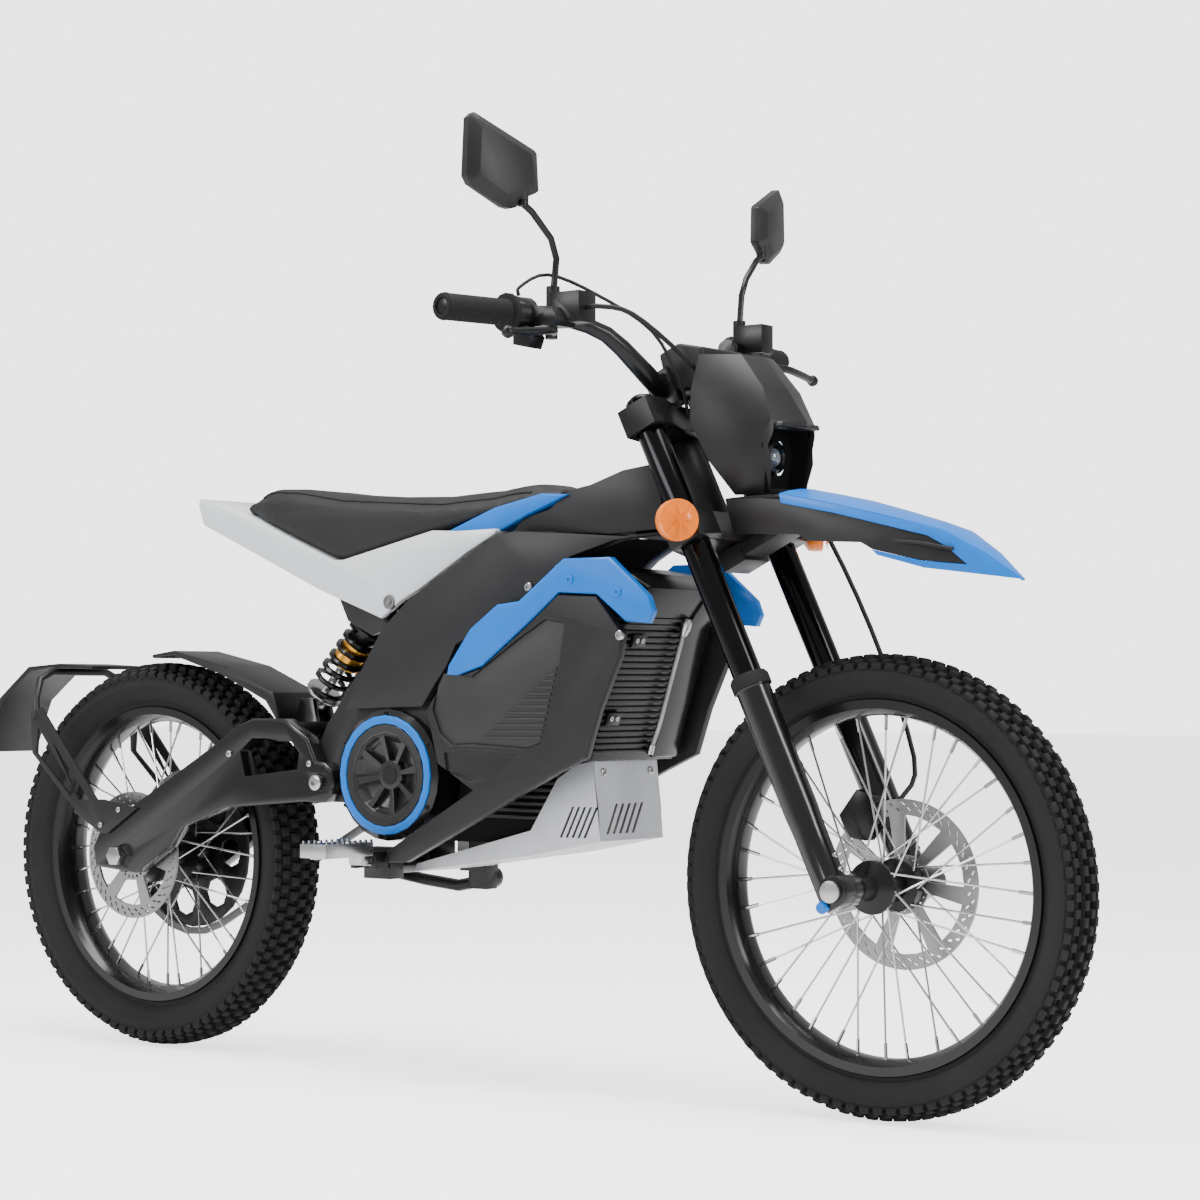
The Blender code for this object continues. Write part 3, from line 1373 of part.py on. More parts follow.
SKID = [
    (0.895, 0.467),
    (0.926, BATTERY_LOW - GAP),
    (0.9290, BATTERY_LOW - GAP),
    (0.9400, 0.360),
    (0.814, 0.336),
    (0.596, 0.305),
    (0.600, 0.317),
    (0.814, 0.372),
    (0.862, 0.446),
]
SKID_ROOM = [
    (0.880, 0.520),
    (0.9245, 0.520),
    (0.9355, 0.3645),
    (0.814, 0.3402),
    (0.580, 0.3070),
    (0.580, 0.520),
]
skid_room = prism(SKID_ROOM, -SKID_HALF + SKID_WALL, SKID_HALF - SKID_WALL)
skid_foot = block((0.640, -0.030, 0.312), (0.662, 0.030, 0.3680))
motor_bottom = rod(motor_centre - Y_AXIS * 0.3, motor_centre + Y_AXIS * 0.3, MOTOR_R - 0.004 + GAP, 24)
node(
    "skid_plate",
    prism(SKID, -SKID_HALF, SKID_HALF),
    "silver",
    cut=[skid_room],
    inside=[skid_foot],
    trim=[motor_bottom],
)

TRIM_TOP = [
    (0.710, 0.595),
    (0.713, 0.608),
    (0.753, 0.660),
    (0.803, 0.694),
    (0.842, 0.698),
    (0.853, 0.706),
    (0.922, 0.756),
    (1.002, 0.756),
    (1.067, 0.701),
    (1.075, 0.680),
    (1.067, 0.664),
]
TRIM_LOW = [
    (1.030, 0.667),
    (0.980, 0.705),
    (0.913, 0.709),
    (0.892, 0.692),
    (0.859, 0.667),
    (0.775, 0.607),
    (0.730, 0.594),
]
COVER_GAP = 0.003
COVER_REST = [
    (0.673, 0.544),
    (0.694, 0.467),
    (0.759, 0.430),
    (0.596, 0.3375),
    (0.600, 0.321),
    (0.633, 0.323),
    (0.909, 0.456),
    (0.961, 0.479),
    (0.984, 0.545),
    (1.019, 0.619),
    (1.024, 0.650),
]
cover_outline = [(x, z - COVER_GAP) for x, z in TRIM_LOW[1:]] + [(0.705, 0.588)] + COVER_REST
BOSS_R = 0.008
for side, label in ((-1, "right"), (1, "left")):
    trim_bosses = []
    for x, z in ((0.795, 0.684), (0.905, 0.741)):
        trim_bosses.append(on_side(rod((x, SPAR_OUT + GAP, z), (x, COVER_IN + 0.002, z), BOSS_R, 12), side))
    node(
        "side_trim_" + label,
        on_side(prism(TRIM_TOP + TRIM_LOW, COVER_IN, COVER_OUT, 0.003), side),
        "blue",
        join=trim_bosses,
    )
    cover_bosses = []
    for x, z in ((0.760, 0.560), (0.940, 0.640), (0.910, 0.500)):
        cover_bosses.append(
            on_side(rod((x, BATTERY_HALF + GAP, z), (x, COVER_IN + 0.002, z), BOSS_R, 12), side)
        )
    node(
        "side_cover_" + label,
        on_side(prism(cover_outline, COVER_IN, COVER_OUT, 0.002), side),
        "charcoal",
        join=cover_bosses,
    )

CARRIER_Z = 0.3140
CARRIER_X = 0.5640
PEG_PIVOT = Vector((0.5650, 0.1420, 0.3250))
carrier_parts = []
for side in (-1, 1):
    carrier_parts.append(on_side(block((0.540, 0.095, 0.296), (0.592, COVER_IN - GAP, 0.342)), side))
    carrier_parts.append(on_side(block((0.540, 0.118, 0.312), (0.5502, 0.154, 0.338)), side))
    carrier_parts.append(on_side(block((0.5798, 0.118, 0.312), (0.5900, 0.154, 0.338)), side))
STAND_LUG_OUT = 0.1325
carrier_parts.append(block((0.548, 0.106, 0.268), (0.584, STAND_LUG_OUT, 0.298)))
hanger_carrier = block((0.546, -0.030, 0.318), (0.586, 0.030, 0.3700))
carrier_trim = rod(motor_centre - Y_AXIS * 0.3, motor_centre + Y_AXIS * 0.3, MOTOR_R - 0.004 + GAP, 24)
node(
    "peg_carrier",
    rod((CARRIER_X, -0.110, CARRIER_Z), (CARRIER_X, 0.110, CARRIER_Z), 0.0125, 16),
    "black_metal",
    join=carrier_parts + [hanger_carrier],
    trim=[carrier_trim],
)
PEG_LENGTH = 0.120
TONGUE_HALF = 0.0145
for side, label in ((-1, "right"), (1, "left")):
    tongue = rod(
        PEG_PIVOT - Vector((TONGUE_HALF, 0, 0)),
        PEG_PIVOT + Vector((TONGUE_HALF, 0, 0)),
        0.0100,
        14,
    )
    neck = block(
        (PEG_PIVOT.x - 0.0125, PEG_PIVOT.y, 0.318),
        (PEG_PIVOT.x + 0.0125, PEG_PIVOT.y + 0.030, 0.334),
    )
    tread = prism(
        [(0.540, 0.332), (0.590, 0.332), (0.590, 0.352), (0.540, 0.352)],
        PEG_PIVOT.y + 0.018,
        PEG_PIVOT.y + PEG_LENGTH,
    )
    hole = prism(
        [(0.547, 0.320), (0.583, 0.320), (0.583, 0.360), (0.547, 0.360)],
        PEG_PIVOT.y + 0.036,
        PEG_PIVOT.y + PEG_LENGTH - 0.006,
    )
    peg_bar = block((0.558, PEG_PIVOT.y + 0.025, 0.330), (0.572, PEG_PIVOT.y + PEG_LENGTH - 0.002, 0.346))
    node(
        "foot_peg_" + label,
        on_side(tread, side),
        "silver",
        cut=[on_side(hole, side)],
        inside=[on_side(bm, side) for bm in (tongue, neck, peg_bar)],
        pivot=(PEG_PIVOT.x, side * PEG_PIVOT.y, PEG_PIVOT.z),
    )

STAND_PIVOT = Vector((0.5650, 0.1420, 0.2840))
stand_points = [
    (0.556, 0.1420, 0.2800),
    (0.500, 0.1420, 0.2690),
    (0.430, 0.1400, 0.2760),
    (0.352, 0.1380, 0.2880),
]
stand_leg = tube(stand_points, 0.0095, 12)
stand_head = rod(
    (STAND_PIVOT.x, STAND_LUG_OUT + GAP, STAND_PIVOT.z), (STAND_PIVOT.x, 0.1510, STAND_PIVOT.z), 0.0160, 14
)
stand_foot = block((0.330, 0.1300, 0.2740), (0.356, 0.1520, 0.2980))
node("side_stand", stand_leg, "black_metal", join=[stand_head, stand_foot], pivot=STAND_PIVOT)

# bodywork and seat --------------------------------------------------------------------------------
TANK = [
    (0.7900, 0.8020),
    (0.8050, 0.8180),
    (0.8550, 0.8300),
    (0.8900, 0.8560),
    (0.9280, 0.8620),
    (0.9770, 0.8810),
    (1.0260, 0.8890),
    (1.0400, 0.7980),
    (0.9580, 0.7920),
    (0.8140, 0.8020),
]


def narrow_front(bm):
    """Pulls the nose of the tank cover in so that the fork can turn past it."""
    for v in bm.verts:
        share = min(max((v.co.x - 0.930) / 0.100, 0), 1)
        v.co.y *= 1 - 0.28 * share
    return bm


tank_bm = prism(TANK, -0.083, 0.083, 0.0)
bmesh.ops.triangulate(tank_bm, faces=tank_bm.faces)
head_room = rod(fork_point(0, 0, 0.4), fork_point(0, 0, 0.8), HEAD_R + CLEAR, 16)
spar_room = block((0.970, -0.065, 0.780), (1.070, 0.065, 0.7950 + GAP))
gusset_room = block((0.970, -GUSSET_HALF - CLEAR, 0.780), (1.070, GUSSET_HALF + CLEAR, GUSSET_TOP + CLEAR))
node("tank_cover", narrow_front(tank_bm), "charcoal", cut=[head_room, spar_room, gusset_room])

seat_loops = []
for x, half, low, edge, crown in SEAT:
    right_half = [
        (half - 0.006, low),
        (half, low + 0.30 * (edge - low)),
        (half, edge),
        (half * 0.62, crown),
    ]
    loop = [(x, y, z) for y, z in right_half] + [(x, -y, z) for y, z in reversed(right_half)]
    seat_loops.append(loop)
node("seat", loft(seat_loops), "seat")

cowl_top = [(x, low - SEAT_GAP) for x, _, low, _, _ in SEAT[1:7]]
cowl_outline = [(0.170, 0.873), (0.236, 0.8520)] + cowl_top + [
    (0.700, 0.8040),
    (0.769, 0.8050),
    (0.769, 0.798),
    (0.718, 0.774),
    (0.624, 0.721),
    (0.589, 0.705),
    (0.550, 0.679),
    (0.423, 0.725),
    (0.179, 0.831),
    (0.169, 0.861),
]
room_top = [(x, z - COWL_WEB) for x, z in cowl_top[1:]]
cowl_room = prism(
    [(0.262, 0.8395)] + room_top + [(0.745, 0.7920), (0.745, 0.600), (0.262, 0.600)],
    -COWL_HALF + COWL_WALL,
    COWL_HALF - COWL_WALL,
)
node("tail_cowl", prism(cowl_outline, -COWL_HALF, COWL_HALF), "white", cut=[cowl_room])

# hoses and cables -----------------------------------------------------------------------------------
cord("control_cable", [
    (0.9440, -0.2650, 1.1072),
    (0.9450, -0.2630, 1.1200),
    (0.9600, -0.2200, 1.1400),
    (0.9900, -0.1500, 1.1180),
    (1.0400, -0.0900, 1.0700),
    (1.0700, -0.0650, 1.0000),
    (1.0780, -0.0550, 0.9500),
], 0.0025, "rubber")
cord("front_brake_hose", [
    (1.0268, -0.2190, 1.0900),
    (1.0450, -0.2188, 1.0900),
    (1.0800, -0.1900, 1.0800),
    (1.1000, -0.1000, 1.0300),
    (1.0950, 0.0200, 0.9700),
    (1.1100, 0.1000, 0.8900),
    (1.1600, 0.1420, 0.8200),
    (1.2500, 0.1420, 0.6600),
    (1.3300, 0.1250, 0.4800),
    (1.3300, 0.0900, 0.4250),
    (1.3185, 0.0650, 0.4080),
], 0.0035, "rubber")
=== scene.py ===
import json
import math

import bmesh
import bpy
from mathutils import Matrix, Vector

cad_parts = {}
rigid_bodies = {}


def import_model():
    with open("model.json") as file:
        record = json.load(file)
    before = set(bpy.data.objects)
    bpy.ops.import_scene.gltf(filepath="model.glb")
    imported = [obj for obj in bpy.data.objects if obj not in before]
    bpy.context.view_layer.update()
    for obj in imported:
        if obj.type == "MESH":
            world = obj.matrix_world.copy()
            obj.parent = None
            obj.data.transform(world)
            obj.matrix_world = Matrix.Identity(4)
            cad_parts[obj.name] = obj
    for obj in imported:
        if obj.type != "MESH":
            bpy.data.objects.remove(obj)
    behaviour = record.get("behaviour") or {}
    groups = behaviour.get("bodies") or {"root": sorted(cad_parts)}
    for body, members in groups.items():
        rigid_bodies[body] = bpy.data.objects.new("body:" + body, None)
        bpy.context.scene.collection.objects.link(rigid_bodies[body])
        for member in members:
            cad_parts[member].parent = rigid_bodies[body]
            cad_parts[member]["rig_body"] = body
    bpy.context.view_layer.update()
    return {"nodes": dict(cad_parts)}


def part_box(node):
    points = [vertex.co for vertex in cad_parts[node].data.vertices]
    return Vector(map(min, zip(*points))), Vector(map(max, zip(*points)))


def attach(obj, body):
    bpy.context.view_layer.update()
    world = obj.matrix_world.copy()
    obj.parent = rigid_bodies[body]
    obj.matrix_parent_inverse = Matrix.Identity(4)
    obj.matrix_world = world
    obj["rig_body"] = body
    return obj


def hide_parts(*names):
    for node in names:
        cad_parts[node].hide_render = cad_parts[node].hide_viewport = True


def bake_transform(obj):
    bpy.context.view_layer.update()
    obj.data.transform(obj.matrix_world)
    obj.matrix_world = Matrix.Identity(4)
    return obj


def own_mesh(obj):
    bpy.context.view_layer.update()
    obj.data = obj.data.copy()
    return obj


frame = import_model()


# Studio ------------------------------------------------------------------------------------------
# A long lens looks at the right front quarter from knee height. A pale seamless floor and big soft
# lamps above and beside the machine give broad highlights on the gloss paint and a faint shadow.
camera_data = bpy.data.cameras.new("studio_camera")
camera_data.lens = 84.41
camera_data.sensor_width = 36
camera = bpy.data.objects.new("studio_camera", camera_data)
bpy.context.scene.collection.objects.link(camera)
camera.location = (2.6832, -3.23098, 0.57164)
camera.rotation_euler = Vector((-0.60294, 0.79713, 0.03228)).to_track_quat("-Z", "Y").to_euler()
bpy.context.scene.camera = camera

world = bpy.data.worlds.new("studio_world")
world.use_nodes = True
backdrop = world.node_tree.nodes["Background"]
backdrop.inputs["Color"].default_value = (1.0, 1.0, 1.0, 1)
seen = world.node_tree.nodes.new("ShaderNodeLightPath")
strength = world.node_tree.nodes.new("ShaderNodeMapRange")
strength.inputs["To Min"].default_value = 0.75
strength.inputs["To Max"].default_value = 3.2
world.node_tree.links.new(seen.outputs["Is Camera Ray"], strength.inputs["Value"])
world.node_tree.links.new(strength.outputs["Result"], backdrop.inputs["Strength"])
bpy.context.scene.world = world


def rest():
    """Leaves edit mode with nothing selected, so that the next operator acts on its own piece alone."""
    if bpy.context.object and bpy.context.object.mode != "OBJECT":
        bpy.ops.object.mode_set(mode="OBJECT")
    bpy.ops.object.select_all(action="DESELECT")


def softbox(name, place, aim, size, power):
    data = bpy.data.lights.new(name, "AREA")
    data.shape = "RECTANGLE"
    data.size = size[0]
    data.size_y = size[1]
    data.energy = power
    lamp = bpy.data.objects.new(name, data)
    bpy.context.scene.collection.objects.link(lamp)
    lamp.location = place
    lamp.rotation_euler = (Vector(aim) - Vector(place)).to_track_quat("-Z", "Y").to_euler()


softbox("overhead_softbox", (0.4, -0.4, 3.4), (0.2, 0.0, 0.5), (3.2, 1.4), 190)
softbox("right_softbox", (-1.1, -3.2, 2.2), (0.1, 0.0, 0.6), (2.4, 0.8), 75)
softbox("front_softbox", (3.8, -0.1, 1.9), (0.6, 0.0, 0.6), (0.7, 1.6), 70)

rest()
bpy.ops.mesh.primitive_plane_add(size=60, location=(0, 0, -0.0006))
floor = bpy.context.object
floor.name = "studio_floor"
floor_paper = bpy.data.materials.new("white_paper")
floor_paper.use_nodes = True
paper_nodes = floor_paper.node_tree.nodes
paper_grain = paper_nodes.new("ShaderNodeTexNoise")
paper_grain.inputs["Scale"].default_value = 300
paper_bump = paper_nodes.new("ShaderNodeBump")
paper_bump.inputs["Strength"].default_value = 0.02
floor_paper.node_tree.links.new(paper_grain.outputs["Fac"], paper_bump.inputs["Height"])
floor_paper.node_tree.links.new(
    paper_bump.outputs["Normal"], paper_nodes["Principled BSDF"].inputs["Normal"],
)
paper_nodes["Principled BSDF"].inputs["Base Color"].default_value = (0.93, 0.93, 0.94, 1)
paper_nodes["Principled BSDF"].inputs["Roughness"].default_value = 0.55
paper_nodes["Principled BSDF"].inputs["Specular IOR Level"].default_value = 0.2
paper_nodes["Principled BSDF"].inputs["Emission Color"].default_value = (1, 1, 1, 1)
paper_seen = paper_nodes.new("ShaderNodeLightPath")
paper_glow = paper_nodes.new("ShaderNodeMapRange")
paper_glow.inputs["To Min"].default_value = 0.3
paper_glow.inputs["To Max"].default_value = 1.9
floor_paper.node_tree.links.new(paper_seen.outputs["Is Camera Ray"], paper_glow.inputs["Value"])
floor_paper.node_tree.links.new(
    paper_glow.outputs["Result"], paper_nodes["Principled BSDF"].inputs["Emission Strength"],
)
floor.data.materials.append(floor_paper)


# Main frame --------------------------------------------------------------------------------------
# Two pressed and welded spars run from the head tube down to the swingarm pivot, powder-coated in
# a matte charcoal with a fine orange-peel grain. Every edge of the pressings is rounded over.
def take(piece):
    """Makes one piece the only one selected, and the active one."""
    rest()
    piece.select_set(True)
    bpy.context.view_layer.objects.active = piece


def finish(name, colour, roughness, metallic=0.0, grain=900, bump=0.12, drift=0.12, coat=0.0, specular=0.3):
    """A painted or moulded surface: fine grain in the bump, slow drift in colour and roughness."""
    material = bpy.data.materials.new(name)
    material.use_nodes = True
    nodes = material.node_tree.nodes
    links = material.node_tree.links
    shader = nodes["Principled BSDF"]
    shader.inputs["Metallic"].default_value = metallic
    shader.inputs["Specular IOR Level"].default_value = specular
    shader.inputs["Coat Weight"].default_value = coat
    shader.inputs["Coat Roughness"].default_value = 0.12
    place = nodes.new("ShaderNodeTexCoord")
    slow = nodes.new("ShaderNodeTexNoise")
    slow.inputs["Scale"].default_value = 14
    slow.inputs["Detail"].default_value = 6
    fine = nodes.new("ShaderNodeTexNoise")
    fine.inputs["Scale"].default_value = grain
    fine.inputs["Detail"].default_value = 3
    links.new(place.outputs["Object"], slow.inputs["Vector"])
    links.new(place.outputs["Object"], fine.inputs["Vector"])
    tint = nodes.new("ShaderNodeValToRGB")
    tint.color_ramp.elements[0].position = 0.30
    tint.color_ramp.elements[1].position = 0.72
    tint.color_ramp.elements[0].color = (*[c * (1 - drift) for c in colour], 1)
    tint.color_ramp.elements[1].color = (*[min(c * (1 + drift), 1) for c in colour], 1)
    links.new(slow.outputs["Fac"], tint.inputs["Fac"])
    links.new(tint.outputs["Color"], shader.inputs["Base Color"])
    gloss = nodes.new("ShaderNodeMapRange")
    gloss.inputs["To Min"].default_value = max(roughness - 0.07, 0.03)
    gloss.inputs["To Max"].default_value = min(roughness + 0.07, 1.0)
    links.new(slow.outputs["Fac"], gloss.inputs["Value"])
    links.new(gloss.outputs["Result"], shader.inputs["Roughness"])
    relief = nodes.new("ShaderNodeBump")
    relief.inputs["Strength"].default_value = bump
    relief.inputs["Distance"].default_value = 0.0006
    links.new(fine.outputs["Fac"], relief.inputs["Height"])
    links.new(relief.outputs["Normal"], shader.inputs["Normal"])
    return material


def dress(piece, material, body, angle=35):
    """Shades a finished piece, gives it its material and says what it rides on."""
    take(piece)
    bpy.ops.object.transform_apply(location=True, rotation=True, scale=True)
    bpy.ops.object.shade_smooth_by_angle(angle=math.radians(angle))
    piece.data.materials.clear()
    piece.data.materials.append(material)
    if body:
        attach(piece, body)
    return piece


def round_edges(piece, width, angle=32, segments=2):
    """Rounds every edge sharper than the angle."""
    bevel = piece.modifiers.new("rounding", "BEVEL")
    bevel.width = width
    bevel.segments = segments
    bevel.limit_method = "ANGLE"
    bevel.angle_limit = math.radians(angle)
    take(piece)
    bpy.ops.object.modifier_apply(modifier="rounding")
    return piece


def cut_away(piece, cutters):
    """Cuts the cutters out of the piece and removes them."""
    for cutter in cutters:
        modifier = piece.modifiers.new("cut", "BOOLEAN")
        modifier.object = cutter
        modifier.operation = "DIFFERENCE"
        take(piece)
        bpy.ops.object.modifier_apply(modifier="cut")
        bpy.data.objects.remove(cutter, do_unlink=True)
    return piece


def rounded_copy(node, width, name, cutters=()):
    """A copy of a structural piece with its triangles merged and every hard edge rounded over."""
    source = frame["nodes"][node]
    piece = source.copy()
    piece.data = source.data.copy()
    piece.name = name
    piece.parent = None
    for key in list(piece.keys()):
        del piece[key]
    bpy.context.scene.collection.objects.link(piece)
    take(piece)
    if piece.data.has_custom_normals:
        bpy.ops.mesh.customdata_custom_splitnormals_clear()
    bpy.ops.object.mode_set(mode="EDIT")
    bpy.ops.mesh.select_all(action="SELECT")
    bpy.ops.mesh.remove_doubles(threshold=0.00002)
    bpy.ops.object.mode_set(mode="OBJECT")
    cut_away(piece, cutters)
    if width == 0:
        return piece
    bpy.ops.object.mode_set(mode="EDIT")
    bpy.ops.mesh.select_all(action="SELECT")
    bpy.ops.mesh.remove_doubles(threshold=0.00002)
    bpy.ops.mesh.dissolve_limited(angle_limit=math.radians(0.8))
    bpy.ops.object.mode_set(mode="OBJECT")
    return round_edges(piece, width)


def rounded(node, width, material):
    """The rounded copy stands in for its structural piece and rides where that rides."""
    piece = rounded_copy(node, width, node + "_finished")
    dress(piece, material, frame["nodes"][node]["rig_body"], 40)
    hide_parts(node)
    return piece


powder_coat = finish("charcoal_powder_coat", (0.010, 0.010, 0.011), 0.42, grain=1400, bump=0.10)

rounded("main_frame", 0.0025, powder_coat)
rounded("tank_cover", 0.0040, powder_coat)


# Battery pack ------------------------------------------------------------------------------------
# A sealed black case between the spars. Its sides are cast with close horizontal cooling fins, two
# connectors are screwed to the right of its sloping front and a braided lead runs down the middle.
def extruded(outline, y0, y1, name="plate"):
    """A solid from a side-view outline of (x, z) points, extruded from y0 to y1."""
    rest()
    bpy.ops.mesh.primitive_circle_add(vertices=len(outline), fill_type="NGON", location=(0, 0, 0))
    piece = bpy.context.object
    piece.name = name
    for vertex, (x, z) in zip(piece.data.vertices, outline):
        vertex.co = (x, y0, z)
    bpy.ops.object.mode_set(mode="EDIT")
    bpy.ops.mesh.select_all(action="SELECT")
    bpy.ops.mesh.extrude_region_move(TRANSFORM_OT_translate={"value": (0, y1 - y0, 0)})
    bpy.ops.mesh.select_all(action="SELECT")
    bpy.ops.mesh.normals_make_consistent(inside=False)
    bpy.ops.object.mode_set(mode="OBJECT")
    return piece


def joined(pieces, name):
    """One object from several, as a workshop would bond them."""
    rest()
    for piece in pieces:
        piece.select_set(True)
    bpy.context.view_layer.objects.active = pieces[0]
    bpy.ops.object.join()
    pieces[0].name = name
    return pieces[0]


def screw(place, towards, radius, height, socket=True):
    """A button-head screw with a hexagon socket, seated at place and facing towards."""
    rest()
    bpy.ops.mesh.primitive_cylinder_add(vertices=18, radius=radius, depth=height)
    piece = bpy.context.object
    bpy.ops.object.mode_set(mode="EDIT")
    bpy.ops.mesh.select_mode(type="FACE")
    bpy.ops.mesh.select_all(action="DESELECT")
    mesh = bmesh.from_edit_mesh(piece.data)
    mesh.faces.ensure_lookup_table()
    for face in mesh.faces:
        face.select_set(face.normal.z > 0.9)
    bmesh.update_edit_mesh(piece.data)
    bpy.ops.mesh.inset(thickness=radius * 0.22, depth=height * 0.3)
    if socket:
        bpy.ops.mesh.inset(thickness=radius * 0.30)
        bpy.ops.mesh.inset(thickness=0.0001, depth=-height * 0.5)
    bpy.ops.object.mode_set(mode="OBJECT")
    turn = Vector(towards).to_track_quat("Z", "Y").to_matrix().to_4x4()
    piece.data.transform(
        Matrix.Translation(Vector(place) + Vector(towards).normalized() * height * 0.4) @ turn
    )
    return piece


def revolved(profile, base, axis, steps=32, name="turned"):
    """A solid spun from (along, radius) points round an axis through base."""
    rest()
    bpy.ops.mesh.primitive_circle_add(vertices=len(profile), location=(0, 0, 0))
    piece = bpy.context.object
    piece.name = name
    for vertex, (along, radius) in zip(piece.data.vertices, profile):
        vertex.co = (radius, 0, along)
    bpy.ops.object.mode_set(mode="EDIT")
    bpy.ops.mesh.select_all(action="SELECT")
    bpy.ops.mesh.spin(steps=steps, angle=2 * math.pi, center=(0, 0, 0), axis=(0, 0, 1))
    bpy.ops.mesh.select_all(action="SELECT")
    bpy.ops.mesh.remove_doubles(threshold=0.00002)
    bpy.ops.mesh.normals_make_consistent(inside=False)
    bpy.ops.object.mode_set(mode="OBJECT")
    turn = Vector(axis).to_track_quat("Z", "Y").to_matrix().to_4x4()
    piece.data.transform(Matrix.Translation(Vector(base)) @ turn)
    return piece


def cable(route, radius, name):
    """A round cable along a smooth route of points."""
    curve = bpy.data.curves.new(name, "CURVE")
    curve.dimensions = "3D"
    curve.bevel_depth = radius
    curve.bevel_resolution = 2
    curve.resolution_u = 8
    line = curve.splines.new("BEZIER")
    line.bezier_points.add(len(route) - 1)
    for point, place in zip(line.bezier_points, route):
        point.co = place
        point.handle_left_type = "AUTO"
        point.handle_right_type = "AUTO"
    curve.use_fill_caps = True
    holder = bpy.data.objects.new(name, curve)
    bpy.context.scene.collection.objects.link(holder)
    take(holder)
    bpy.ops.object.convert(target="MESH")
    return bpy.context.object


gloss_black = finish("gloss_black_plastic", (0.004, 0.004, 0.0045), 0.22, grain=500, bump=0.03, coat=0.2)
cover_black = finish("warm_charcoal_plastic", (0.021, 0.020, 0.0195), 0.48, grain=1800, bump=0.16)
black_metal = finish(
    "black_painted_metal", (0.007, 0.007, 0.0075), 0.28, metallic=0.2, grain=700, bump=0.05,
)
bright_metal = finish(
    "bright_machined_metal", (0.42, 0.42, 0.43), 0.26, metallic=1.0, grain=900, bump=0.06, drift=0.1,
)
battery = rounded_copy("battery_pack", 0.0030, "battery_case")
BATTERY_FRONT = [(0.4723, 0.2963), (0.5450, 0.3193), (0.6600, 0.3573), (0.7140, 0.4023)]


def battery_front(z):
    """How far forward the sloping front of the case reaches at a height."""
    for (z0, x0), (z1, x1) in zip(BATTERY_FRONT, BATTERY_FRONT[1:]):
        if z <= z1:
            return x0 + (x1 - x0) * (z - z0) / (z1 - z0)
    return BATTERY_FRONT[-1][1]


fins = []
for i in range(22):
    z = 0.484 + 0.0088 * i
    top = z + 0.0038
    low_x = battery_front(z) + 0.0028
    top_x = battery_front(top) + 0.0028
    fins.append(extruded([(0.200, z), (low_x, z), (top_x, top), (0.200, top)], -0.1030, 0.1030))
fin_set = round_edges(joined(fins, "battery_fins"), 0.0008)
dress(battery, black_metal, "frame", 40)
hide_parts("battery_pack")
dress(fin_set, cover_black, "frame", 40)
spine = extruded(
    [
        (0.290, 0.4760), (battery_front(0.476) + 0.0050, 0.4760), (battery_front(0.545) + 0.0050, 0.5450),
        (battery_front(0.660) + 0.0050, 0.6600), (battery_front(0.700) + 0.0050, 0.7000), (0.340, 0.7000),
    ],
    0.0420, 0.1020,
)
dress(round_edges(spine, 0.0030), gloss_black, "frame", 40)
FRONT_SLOPE = Vector((0.9485, 0, -0.3168))
plugs = []
plug_screws = []
for y, z in ((-0.066, 0.6420), (-0.078, 0.5330)):
    x = battery_front(z)
    plugs.append(
        extruded(
            [
                (x - 0.004, z - 0.010), (x + 0.0045, z - 0.010), (x + 0.0105, z + 0.008),
                (x - 0.004, z + 0.008),
            ],
            y - 0.016, y + 0.016,
        )
    )
    for step in (-0.0065, 0.0065):
        plug_screws.append(screw((x + 0.0070, y + step, z), FRONT_SLOPE, 0.0038, 0.0022))
dress(round_edges(joined(plugs, "battery_plugs"), 0.0015), black_metal, "frame", 40)
dress(joined(plug_screws, "battery_plug_screws"), bright_metal, "frame", 40)
lead_route = [
    (battery_front(z) + out, 0.030, z)
    for z, out in ((0.664, 0.0085), (0.620, 0.0105), (0.570, 0.0105), (0.520, 0.0100), (0.488, 0.0065))
]
lead = cable(lead_route, 0.0034, "battery_lead")
knuckles = [
    revolved(
        [(-0.014, 0), (-0.014, 0.0060), (-0.004, 0.0088), (0.004, 0.0088), (0.012, 0.0052), (0.012, 0)],
        lead_route[0], (0.45, -0.15, 1), 20,
    ),
    revolved([(-0.007, 0), (-0.007, 0.0052), (0.007, 0.0052), (0.007, 0)], lead_route[-1], (0.3, 0, 1), 20),
]
braid = finish(
    "braided_silver_sleeve", (0.40, 0.40, 0.41), 0.35, metallic=0.8, grain=2600, bump=0.9, drift=0.35,
)
dress(lead, braid, "frame", 60)
dress(joined(knuckles, "battery_lead_ends"), bright_metal, "frame", 40)


# Side covers and azure trims ---------------------------------------------------------------------
# Moulded panels on rubber bosses. Each has a sunk field with a wedge of louvres, a plain facet and
# a diagonal arm to the foot peg with two smaller sunk panels. Bright screws hold each cover.
satin_black = finish("satin_black_plastic", (0.0085, 0.0085, 0.009), 0.42, grain=1600, bump=0.14)
azure = finish(
    "azure_satin_plastic", (0.000, 0.135, 0.52), 0.34, grain=900, bump=0.04, drift=0.05, coat=0.1,
    specular=0.2,
)
FIELD = [
    (0.0600, 0.5970), (0.1150, 0.5920), (0.2000, 0.6450), (0.2480, 0.6720), (0.2830, 0.6670),
    (0.2735, 0.6077), (0.2400, 0.4985), (0.2159, 0.4905), (0.1157, 0.4960), (0.0800, 0.4940),
    (0.0560, 0.5110), (0.0420, 0.5443), (0.0490, 0.5780),
]
ARM_WINDOW = [
    (0.0640, 0.4830), (0.1180, 0.4870), (0.1960, 0.4830), (0.1530, 0.4500), (0.1140, 0.4430),
    (0.0680, 0.4560),
]
SIDE_OUT = 0.1400
